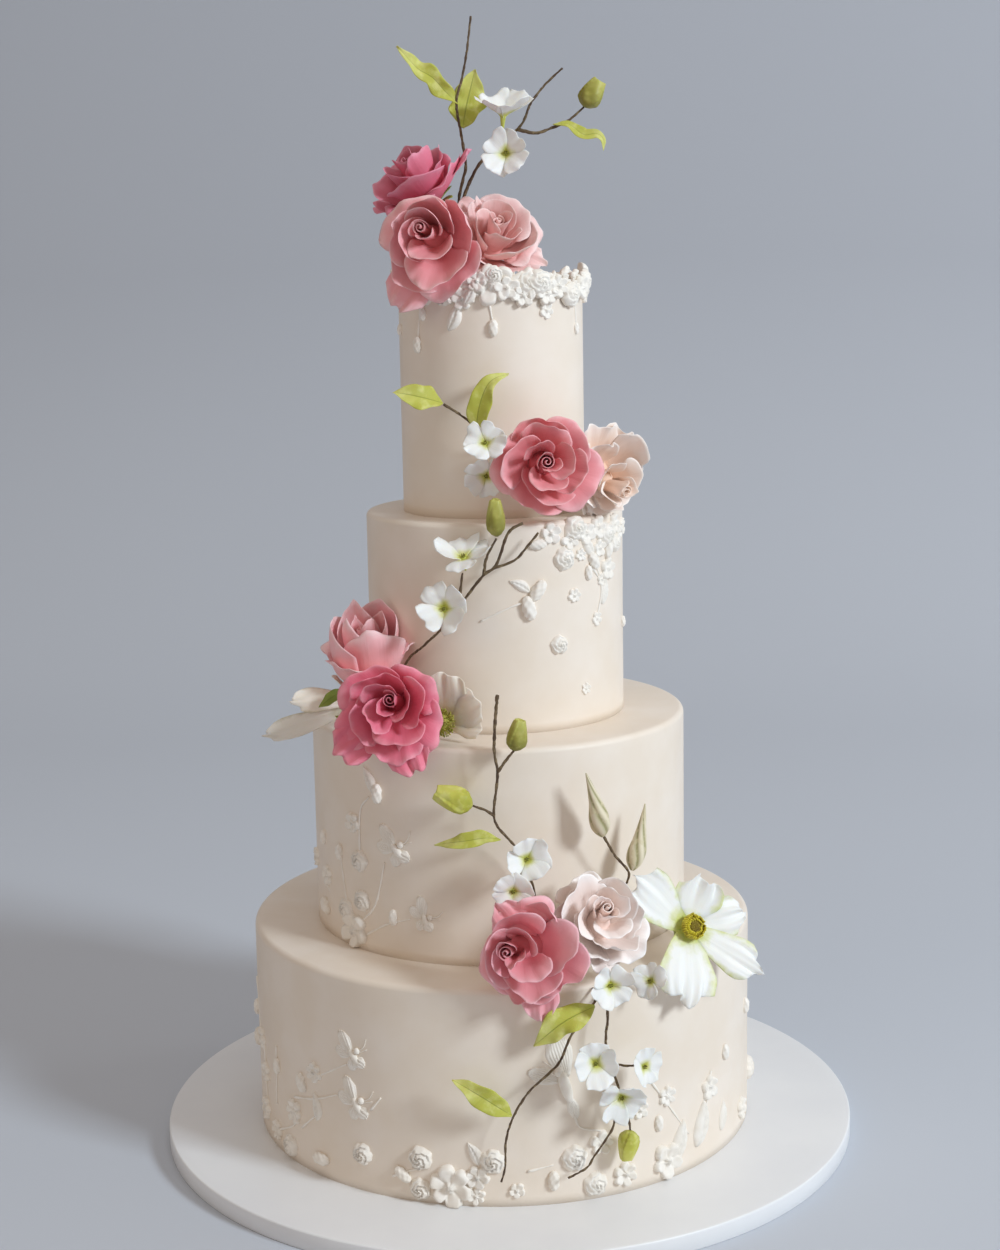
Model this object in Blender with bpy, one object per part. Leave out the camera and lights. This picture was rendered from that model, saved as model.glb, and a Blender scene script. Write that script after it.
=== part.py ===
"""A four-tier wedding cake on its round board, dressed with wired sugar flowers and pressed relief.

Metres, +Z up. The origin is the middle of the board's underside and the front is -Y. Angles round a tier are in
degrees from the front towards +X, heights are above the tier's foot, and "out" is the distance off its side.
Sizes and places are written in millimetres and turned to metres once, where a mesh is made.
"""

import math
import random

import bpy
import numpy as np

MM = 0.001
GAP = 0.3

BOARD_RADIUS = 228.6
BOARD_THICKNESS = 12.0
BOARD_EDGE = 1.2
STACK_X, STACK_Y = -3.0, -2.0

# Tiers from the bottom: radius, height, easing of the top edge, sides of the faceted circle.
TIER_SIZES = {
    "tier_1": (163.4, 136.6, 4.0, 44),
    "tier_2": (121.4, 136.0, 3.6, 40),
    "tier_3": (82.5, 130.4, 3.2, 36),
    "tier_4": (58.4, 141.8, 2.8, 32),
}

STEM_RADIUS = 1.0
LEAF_THICKNESS = 1.0
PETAL_THICKNESS = 1.1
RELIEF_SINK = 1.2

ICING = ("icing", (0.86, 0.80, 0.73), 0.55)
BOARD_WHITE = ("board_white", (0.90, 0.90, 0.90), 0.45)
ROSE_DARK = ("rose_dark", (0.78, 0.24, 0.34), 0.6)
ROSE_PINK = ("rose_pink", (0.85, 0.40, 0.45), 0.6)
ROSE_LIGHT = ("rose_light", (0.90, 0.60, 0.60), 0.6)
ROSE_PEACH = ("rose_peach", (0.93, 0.78, 0.68), 0.6)
ROSE_BLUSH = ("rose_blush", (0.95, 0.85, 0.80), 0.6)
PETAL_WHITE = ("petal_white", (0.92, 0.92, 0.86), 0.6)
PETAL_CREAM = ("petal_cream", (0.88, 0.84, 0.74), 0.6)
POLLEN_GREEN = ("pollen_green", (0.55, 0.52, 0.12), 0.7)
LEAF_GREEN = ("leaf_green", (0.62, 0.68, 0.20), 0.55)
BUD_GREEN = ("bud_green", (0.50, 0.56, 0.14), 0.5)
BUD_PALE = ("bud_pale", (0.78, 0.76, 0.52), 0.55)
TWIG_BROWN = ("twig_brown", (0.28, 0.20, 0.13), 0.7)


def stacked_feet():
    """Foot height of each tier, and of the free air above the top one."""
    feet = {}
    height = BOARD_THICKNESS + GAP
    for name, (_, tall, _, _) in TIER_SIZES.items():
        feet[name] = height
        height += tall + GAP
    feet["top"] = height
    return feet


FEET = stacked_feet()


def around(tier, angle, height, out):
    """World point in millimetres at an angle round a tier, above its foot and off its side."""
    radius = TIER_SIZES[tier][0] + out
    turn = math.radians(angle)
    return np.array(
        [STACK_X + radius * math.sin(turn), STACK_Y - radius * math.cos(turn), FEET[tier] + height]
    )


def facing_frame(azimuth, elevation, spin=0.0):
    """Right, up and outward unit vectors of something that looks along azimuth and elevation, as rows."""
    az, el = math.radians(azimuth), math.radians(elevation)
    outward = np.array([math.sin(az) * math.cos(el), -math.cos(az) * math.cos(el), math.sin(el)])
    right = np.cross([0.0, 0.0, 1.0], outward)
    right /= np.linalg.norm(right)
    up = np.cross(outward, right)
    turn = math.radians(spin)
    return np.array(
        [
            right * math.cos(turn) + up * math.sin(turn),
            up * math.cos(turn) - right * math.sin(turn),
            outward,
        ]
    )


def placed(shape, frame, place):
    """The shape moved from a flower's own frame to the world."""
    points, faces = shape
    return points @ frame + np.asarray(place, float), faces


def principled(look):
    """The material named in a look, made once."""
    name, colour, roughness = look
    found = bpy.data.materials.get(name)
    if found:
        return found
    made = bpy.data.materials.new(name)
    made.use_nodes = True
    shader = made.node_tree.nodes["Principled BSDF"]
    shader.inputs["Base Color"].default_value = (*colour, 1.0)
    shader.inputs["Roughness"].default_value = roughness
    shader.inputs["Metallic"].default_value = 0.0
    return made


def mesh_object(name, shape, look):
    """A Blender object holding a shape, in metres."""
    points, faces = shape
    mesh = bpy.data.meshes.new(name)
    mesh.from_pydata((np.asarray(points) * MM).tolist(), [], [list(map(int, f)) for f in faces])
    mesh.materials.append(principled(look))
    mesh.update()
    made = bpy.data.objects.new(name, mesh)
    bpy.context.scene.collection.objects.link(made)
    return made


def largest_shell(mesh):
    """Keeps the shell with the widest box, so that sealed hollows are filled and loose scraps dropped."""
    count = len(mesh.vertices)
    points = np.empty(count * 3)
    mesh.vertices.foreach_get("co", points)
    points = points.reshape(-1, 3)
    faces = [tuple(p.vertices) for p in mesh.polygons]
    root = np.arange(count)
    edges = np.array([(f[i], f[(i + 1) % len(f)]) for f in faces for i in range(len(f))])
    while True:
        lowest = root.copy()
        np.minimum.at(lowest, edges[:, 0], root[edges[:, 1]])
        np.minimum.at(lowest, edges[:, 1], root[edges[:, 0]])
        lowest = lowest[lowest]
        if (lowest == root).all():
            break
        root = lowest
    widest = max(set(root.tolist()), key=lambda r: float(np.ptp(points[root == r], axis=0).sum()))
    kept = root == widest
    index = np.cumsum(kept) - 1
    return points[kept] / MM, [[int(index[v]) for v in f] for f in faces if kept[f[0]]]


def fused(name, shapes, look, solver="MANIFOLD"):
    """One solid object: the Boolean union of several closed shapes."""
    first = mesh_object(name, shapes[0], look)
    others = bpy.data.collections.new(name + "_shapes")
    bpy.context.scene.collection.children.link(others)
    for number, shape in enumerate(shapes[1:]):
        helper = mesh_object(f"{name}_shape_{number}", shape, look)
        bpy.context.scene.collection.objects.unlink(helper)
        others.objects.link(helper)
    union = first.modifiers.new("union", "BOOLEAN")
    union.operation = "UNION"
    union.operand_type = "COLLECTION"
    union.collection = others
    union.solver = solver
    graph = bpy.context.evaluated_depsgraph_get()
    joined = bpy.data.meshes.new_from_object(first.evaluated_get(graph))
    for helper in list(others.objects):
        bpy.data.objects.remove(helper)
    bpy.data.collections.remove(others)
    bpy.data.objects.remove(first)
    return mesh_object(name, largest_shell(joined), look)


def turned(profile, sides):
    """A closed solid of revolution about +Z from (radius, height) pairs that run from the bottom up, off the axis."""
    rings = np.asarray(profile, float)
    turn = np.arange(sides) * 2 * math.pi / sides
    circle = np.stack([np.sin(turn), -np.cos(turn)], axis=1)
    points = np.concatenate([np.column_stack([circle * r, np.full(sides, h)]) for r, h in rings])
    faces = []
    for ring in range(len(rings) - 1):
        low, high = ring * sides, (ring + 1) * sides
        for i in range(sides):
            j = (i + 1) % sides
            faces += [(low + i, low + j, high + j), (low + i, high + j, high + i)]
    faces.append(tuple(range(sides - 1, -1, -1)))
    faces.append(tuple(range((len(rings) - 1) * sides, len(rings) * sides)))
    return points, faces


def sheet(grid, thickness):
    """A thin closed solid round a grid of mid-surface points, both faces split into triangles alike."""
    along = np.gradient(grid, axis=0)
    across = np.gradient(grid, axis=1)
    normal = np.cross(across, along)
    normal /= np.maximum(np.linalg.norm(normal, axis=2, keepdims=True), 1e-9)
    half = np.broadcast_to(np.asarray(thickness, float), grid.shape[:2])[..., None] / 2
    rows, cols = grid.shape[:2]
    front, back = (grid + normal * half).reshape(-1, 3), (grid - normal * half).reshape(-1, 3)
    shift = rows * cols
    faces = []
    for r in range(rows - 1):
        for c in range(cols - 1):
            a, b = r * cols + c, r * cols + c + 1
            d, e = a + cols, b + cols
            faces += [(a, b, e), (a, e, d)]
            faces += [(e + shift, b + shift, a + shift), (d + shift, e + shift, a + shift)]
    rim = [c for c in range(cols)]
    rim += [r * cols + cols - 1 for r in range(1, rows)]
    rim += [(rows - 1) * cols + c for c in range(cols - 2, -1, -1)]
    rim += [r * cols for r in range(rows - 2, 0, -1)]
    for i, a in enumerate(rim):
        b = rim[(i + 1) % len(rim)]
        faces += [(b, a, a + shift), (b, a + shift, b + shift)]
    return np.concatenate([front, back]), faces


def smooth_path(points, step):
    """Points about a step apart on the curve that runs smoothly through the given ones."""
    points = np.asarray(points, float)
    if len(points) == 2:
        middle = points.mean(axis=0)
        points = np.array([points[0], middle, points[1]])
    padded = np.concatenate([[2 * points[0] - points[1]], points, [2 * points[-1] - points[-2]]])
    found = []
    for i in range(1, len(padded) - 2):
        before, a, b, after = padded[i - 1 : i + 3]
        pieces = max(1, round(float(np.linalg.norm(b - a)) / step))
        for t in np.arange(pieces) / pieces:
            found.append(
                0.5
                * (
                    2 * a
                    + (b - before) * t
                    + (2 * before - 5 * a + 4 * b - after) * t**2
                    + (3 * a - before - 3 * b + after) * t**3
                )
            )
    found.append(points[-1])
    return np.array(found)


def tube(points, radius, tip_radius, sides=5):
    """A capped tube that tapers along a path."""
    points = np.asarray(points, float)
    tangents = np.gradient(points, axis=0)
    tangents /= np.linalg.norm(tangents, axis=1, keepdims=True)
    side = np.cross(tangents[0], [0.31, 0.95, 0.11])
    rings = []
    for place, tangent, share in zip(points, tangents, np.linspace(0, 1, len(points))):
        side = side - tangent * (side @ tangent)
        side /= np.linalg.norm(side)
        other = np.cross(tangent, side)
        turn = np.arange(sides) * 2 * math.pi / sides
        size = radius + (tip_radius - radius) * share
        rings.append(place + size * (np.outer(np.cos(turn), side) + np.outer(np.sin(turn), other)))
    faces = []
    for ring in range(len(points) - 1):
        low, high = ring * sides, (ring + 1) * sides
        for i in range(sides):
            j = (i + 1) % sides
            faces += [(low + i, low + j, high + j), (low + i, high + j, high + i)]
    faces.append(tuple(range(sides - 1, -1, -1)))
    faces.append(tuple(range((len(points) - 1) * sides, len(points) * sides)))
    return np.concatenate(rings), faces


# Petals of roses and open flowers


def petal(turn, length, half_width, leans, cup, start_out, start_up, tuck=0.0, ruffle=0.0, rows=3, cols=3, tip=0.55):
    """Mid-surface of one petal in a flower's own frame, whose +Z is the way the flower looks.

    The middle line leaves the axis at start_out and leans away from it by the three angles at its foot, middle and tip.
    The petal is narrow at the foot, widest past the middle, and wraps round the axis by its cup.
    """
    t = np.linspace(0, 1, 24)
    lean = np.radians(np.interp(t, [0, 0.5, 1], leans))
    step = length / (len(t) - 1)
    out = start_out + np.concatenate([[0], np.cumsum(np.sin(lean[1:]) * step)])
    up = start_up + np.concatenate([[0], np.cumsum(np.cos(lean[1:]) * step)])
    s = np.linspace(-1, 1, cols)
    share = np.linspace(0, 1, rows)[:, None] * (1 - 0.13 * np.abs(s) ** 2)[None, :]
    radial = np.interp(share, t, out)
    rise = np.interp(share, t, up)
    width = half_width * np.interp(share, [0, 0.25, 0.65, 0.9, 1], [0.28, 0.62, 1.0, 0.86, tip])
    wrap = np.maximum(radial, 0.35 * half_width) / max(cup, 0.05)
    angle = np.clip(width * s / wrap, -1.9, 1.9)
    radial = radial - wrap * (1 - np.cos(angle)) + tuck * s * share
    sideways = wrap * np.sin(angle)
    wave = ruffle * share**2
    rise = rise + wave * np.sin(2.5 * math.pi * s + turn)
    radial = radial + wave * np.cos(2.0 * math.pi * s + 1.7 * turn)
    a = math.radians(turn)
    x = radial * math.cos(a) - sideways * math.sin(a)
    y = radial * math.sin(a) + sideways * math.cos(a)
    return np.stack([x, y, rise], axis=2)


# One petal's points round a bowl's rim: share of the petal's turn, reach, and height in shares of the rim's radius.
WIDE_PETAL = ((0.0, 0.93, -0.04), (0.36, 1.05, 0.05), (0.84, 0.80, -0.12))
INNER_PETAL = ((0.0, 1.04, 0.03), (0.62, 0.84, -0.08))


def bowl(levels, lobes, outline, thickness, rand, turn):
    """A thin closed bowl of overlapping petals about +Z, from (reach, height) levels that end at its rim.

    Each petal starts a little in, swells out, and ends tucked under the next one.
    """
    sides = len(outline) * lobes
    along, reach, droop = np.tile(np.array(outline).T, lobes)
    angle = turn + (along + np.repeat(np.arange(lobes), len(outline))) * 2 * math.pi / lobes
    swell = np.repeat([rand.uniform(0.94, 1.07) for _ in range(lobes)], len(outline))
    rim = levels[-1][0]
    points = []
    for inner in (False, True):
        points.append([[0, 0, levels[0][1] - 0.1 * rim + (thickness if inner else 0)]])
        for number, (out, height) in enumerate(levels):
            share = (number + 1) / len(levels)
            size = out * (1 + (reach * swell - 1) * share)
            lift = height + droop * rim * share + (0.8 * thickness if inner else 0)
            size = size - (0.8 * thickness if inner else 0)
            points.append(np.column_stack([np.cos(angle) * size, np.sin(angle) * size, lift]))
    points = np.concatenate(points)
    shift = 1 + len(levels) * sides
    faces = []
    for i in range(sides):
        j = (i + 1) % sides
        faces += [(0, 1 + j, 1 + i), (shift, shift + 1 + i, shift + 1 + j)]
        for number in range(len(levels) - 1):
            a, b = 1 + number * sides + i, 1 + number * sides + j
            c, d = a + sides, b + sides
            faces += [(a, b, d), (a, d, c), (shift + b, shift + a, shift + d), (shift + d, shift + a, shift + c)]
        a, b = 1 + (len(levels) - 1) * sides + i, 1 + (len(levels) - 1) * sides + j
        faces += [(a, b, shift + b), (a, shift + b, shift + a)]
    return points, faces


def rose_levels(openness):
    """Petals, their outline and (reach, height) levels of a rose's bowls, in shares of its radius, shut (0) to open (1)."""
    o = openness
    return (
        (5, WIDE_PETAL, [(0.62, -0.10 + 0.22 * (1 - o)), (0.80 + 0.24 * o, 0.80 - 0.62 * o)]),
        (4, INNER_PETAL, [(0.42, 0.06), (0.54 + 0.16 * o, 0.88 - 0.28 * o)]),
        (3, INNER_PETAL, [(0.27, 0.30), (0.26 + 0.06 * o, 0.92 - 0.12 * o)]),
    )


def rose_shapes(radius, openness, seed):
    """Closed shapes of a rose that looks along +Z with its heart's foot at the origin."""
    rand = random.Random(seed)
    heart = [(0.10, -0.34), (0.22, -0.12), (0.07, 0.86 - 0.1 * openness)]
    shapes = [turned([(out * radius, up * radius) for out, up in heart], 4)]
    for lobes, outline, levels in rose_levels(openness):
        sized = [(out * radius, up * radius) for out, up in levels]
        shapes.append(bowl(sized, lobes, outline, PETAL_THICKNESS, rand, rand.uniform(0, 6)))
    return shapes


def rose(name, place, azimuth, elevation, radius, openness, seed, root, look, loose=()):
    """A sugar rose on its wire: place is the foot of its heart and root is where the wire meets the cake.

    Loose petals that reach past the bowls are given as turn, length, half width, leans, cup and tip share.
    """
    frame = facing_frame(azimuth, elevation)
    place = np.asarray(place, float)
    shapes = [placed(shape, frame, place) for shape in rose_shapes(radius, openness, seed)]
    for turn, length, half, leans, cup, tip in loose:
        grid = petal(turn, length, half, leans, cup, 0.1 * radius, -0.2 * radius, ruffle=0.06 * half, tip=tip)
        shapes.append(placed(sheet(grid, PETAL_THICKNESS), frame, place))
    back = place - frame[2] * 0.3 * radius
    bend = (back + np.asarray(root)) / 2 - frame[2] * 0.15 * radius
    shapes.append(tube(smooth_path([place, back, bend, root], 16.0), 2.4, STEM_RADIUS, 4))
    return fused(name, shapes, look)


def blossom(name, place, azimuth, elevation, radius, spin, tail, cup=0.25, look=PETAL_WHITE):
    """A small four-petalled blossom: one closed sheet of four lobes whose back is drawn out into its tube."""
    sides = 12
    quarters = np.repeat(np.arange(4) * 90.0, 3)
    rings = []
    for share, notch, lobe, spread in ((0.55, 0.24, 0.60, 26.0), (1.0, 0.42, 1.0, 17.0)):
        turn = np.radians(quarters + np.tile([0.0, 45.0 - spread, 45.0 + spread], 4))
        reach = radius * np.tile([notch, lobe, 0.96 * lobe], 4)
        lift = cup * radius * share**2 * (1 + 0.25 * np.cos(2 * turn))
        rings.append(np.column_stack([np.cos(turn) * reach, np.sin(turn) * reach, lift]))
    front = np.concatenate([[[0, 0, -0.06 * radius]], *rings])
    back = front - [0, 0, PETAL_THICKNESS]
    back[0] = [0, 0, -tail]
    back[1 : sides + 1, :2] *= 0.62
    back[1 : sides + 1, 2] -= 0.05 * radius
    count = len(front)
    faces = []
    for i in range(sides):
        j = (i + 1) % sides
        a, b, c, d = 1 + i, 1 + j, 1 + sides + i, 1 + sides + j
        faces += [(0, a, b), (a, c, d), (a, d, b)]
        faces += [(count, count + b, count + a), (count + a, count + d, count + c)]
        faces += [(count + a, count + b, count + d), (c, count + c, count + d), (c, count + d, d)]
    shape = placed((np.concatenate([front, back]), faces), facing_frame(azimuth, elevation, spin), place)
    return mesh_object(name, shape, look)


def leaf(name, base, tip, half_width, normal, bow=3.0, wave=1.2, twist=0.0, rows=5, look=LEAF_GREEN):
    """A thin wavy leaf from base to tip, bowed along its normal, folded along its midrib and waved at its edges."""
    base, tip, normal = (np.asarray(v, float) for v in (base, tip, normal))
    along = tip - base
    normal = normal - along * (normal @ along) / (along @ along)
    normal /= np.linalg.norm(normal)
    across = np.cross(along / np.linalg.norm(along), normal)
    t = np.linspace(0, 1, rows)[:, None]
    s = np.array([-1.0, 0.0, 1.0])[None, :]
    width = half_width * np.maximum(np.sin(math.pi * t**0.85) ** 0.8, 0.08)
    angle = np.radians(twist) * t
    side = s * width * np.cos(angle)
    lift = bow * np.sin(math.pi * t) + wave * s * np.sin(2.6 * math.pi * t) + 0.18 * width * np.abs(s)
    lift = lift + s * width * np.sin(angle)
    grid = base + along * t[..., None] + across * side[..., None] + normal * lift[..., None]
    return mesh_object(name, sheet(grid, LEAF_THICKNESS), look)


def bud(name, base, tip, radius, look=BUD_GREEN, sides=6, profile=((0, 0.25), (0.2, 0.8), (0.45, 1.0), (0.75, 0.72), (1.0, 0.4))):
    """A closed bud from base to tip, turned from shares of its length and radius."""
    base, tip = np.asarray(base, float), np.asarray(tip, float)
    length = float(np.linalg.norm(tip - base))
    outward = (tip - base) / length
    right = np.cross([0.2, 0.9, 0.3], outward)
    right /= np.linalg.norm(right)
    frame = np.array([right, np.cross(outward, right), outward])
    shape = turned([(share * radius, along * length) for along, share in profile], sides)
    return mesh_object(name, placed(shape, frame, base), look)


LONG_BUD = ((0, 0.3), (0.12, 0.85), (0.3, 1.0), (0.55, 0.72), (0.8, 0.38), (1.0, 0.12))


def twig(name, *runs, radius=STEM_RADIUS, tip_radius=0.7):
    """A wire wrapped in brown tape: its main run and any side runs, fused."""
    tubes = [tube(smooth_path(run, 16.0), radius, tip_radius, 4) for run in runs]
    if len(tubes) == 1:
        return mesh_object(name, tubes[0], TWIG_BROWN)
    return fused(name, tubes, TWIG_BROWN)


# Open flowers with long petals


def open_flower(name, place, azimuth, elevation, petals, root, look, hub=4.0, spin=0.0):
    """A flower of separate long petals on a hub. Each petal is turn, length, half width, leans, cup and tip share."""
    frame = facing_frame(azimuth, elevation, spin)
    place = np.asarray(place, float)
    shapes = [placed(turned([(0.5 * hub, -hub), (hub, -0.3 * hub), (0.8 * hub, 0.5 * hub)], 8), frame, place)]
    for turn, length, half, leans, cup, tip in petals:
        grid = petal(turn, length, half, leans, cup, 0.4 * hub, -0.2 * hub, ruffle=0.05 * half, rows=4, tip=tip)
        shapes.append(placed(sheet(grid, PETAL_THICKNESS), frame, place))
    back = place - frame[2] * (hub + 4)
    shapes.append(tube(smooth_path([place, back, root], 20.0), 1.8, STEM_RADIUS, 4))
    return fused(name, shapes, look)


def seed_head(name, place, azimuth, elevation, radius, depth, sides, look=POLLEN_GREEN, stretch=1.0):
    """A domed centre of anthers, its rim notched into points."""
    profile = [(0.55, -0.5), (0.9, -0.1), (1.0, 0.35), (0.62, 0.8)]
    points, faces = turned([(radius * r, depth * h) for r, h in profile], sides)
    ring = np.arange(len(points)) // sides
    odd = (np.arange(len(points)) % 2)[:, None]
    points = points * np.where((ring[:, None] >= 1) & (odd == 1), [0.88, 0.88, 1.0], [1.0, 1.0, 1.0])
    points[:, 0] *= stretch
    return mesh_object(name, placed((points, faces), facing_frame(azimuth, elevation), place), look)


# Pressed relief on the tiers


def mound(outline, height):
    """A low closed mound: its outline sunk in the icing, rising straight to a crown point."""
    outline = np.asarray(outline, float)
    sides = len(outline)
    foot = np.column_stack([outline, np.full(sides, -RELIEF_SINK)])
    points = np.concatenate([foot, [[0, 0, height]]])
    faces = [tuple(range(sides - 1, -1, -1))]
    faces += [(i, (i + 1) % sides, sides) for i in range(sides)]
    return points, faces


def lobed(radius, lobes, notch):
    """Outline of a flower with round lobes, as points at each lobe and each notch."""
    turn = np.arange(2 * lobes) * math.pi / lobes
    reach = np.where(np.arange(2 * lobes) % 2, radius * notch, radius)
    return np.column_stack([np.cos(turn) * reach, np.sin(turn) * reach])


def pressed(kind, size):
    """One relief motif, flat: +X runs round the tier, +Y up it and +Z out of it."""
    diamond = np.array([(1, 0), (0, 1), (-1, 0), (0, -1)], float)
    if kind == "rosette":
        return [mound(lobed(size * 1.05, 3, 0.92), 0.62 * size)]
    if kind == "blossom":
        return [mound(lobed(size * 1.08, 5, 0.6), 0.36 * size)]
    if kind == "bud":
        return [mound(diamond * [0.66 * size, 1.05 * size], 0.55 * size)]
    if kind == "leaf":
        return [mound(diamond * [0.5 * size, 1.1 * size], 0.28 * size)]
    wings = []
    for lean in (-60, -125, 35):
        points, faces = mound(diamond * [0.32 * size, 0.66 * size], 0.24 * size)
        turn = math.radians(lean)
        spin = np.array([[math.cos(turn), -math.sin(turn), 0], [math.sin(turn), math.cos(turn), 0], [0, 0, 1]])
        wings.append(((points + [0, 0.55 * size, 0]) @ spin.T, faces))
    return wings + pressed("bud", 0.45 * size)


def on_side(shape, tier, angle, height, spin):
    """A flat motif turned by spin and bent round a tier's side, kept clear of what lies under the tier's foot."""
    points, faces = shape
    radius = TIER_SIZES[tier][0]
    turn = math.radians(spin)
    x = points[:, 0] * math.cos(turn) - points[:, 1] * math.sin(turn)
    y = points[:, 0] * math.sin(turn) + points[:, 1] * math.cos(turn)
    round_it = math.radians(angle) + x / radius
    off = radius + points[:, 2]
    up = np.maximum(height + y, 0.4)
    world = np.column_stack([STACK_X + off * np.sin(round_it), STACK_Y - off * np.cos(round_it), FEET[tier] + up])
    return world, faces


def relief_stem(tier, places, radius=0.9):
    """A thin raised line along the side of a tier, through (angle, height) places."""
    path = smooth_path([around(tier, angle, height, 0.1) for angle, height in places], 14.0)
    return tube(path, radius, 0.7 * radius, 3)


def tier_solid(name, motifs, stems):
    """A tier: a turned drum whose top edge is eased, fused with the relief pressed on its side."""
    radius, tall, rounding, sides = TIER_SIZES[name]
    profile = [(radius, 0.0), (radius, tall - rounding), (radius - rounding, tall)]
    points, faces = turned(profile, sides)
    shapes = [(points + [STACK_X, STACK_Y, FEET[name]], faces)]
    for kind, size, angle, height, spin in motifs:
        shapes += [on_side(shape, name, angle, height, spin) for shape in pressed(kind, size)]
    shapes += [relief_stem(name, places) for places in stems]
    return fused(name, shapes, ICING)


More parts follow.
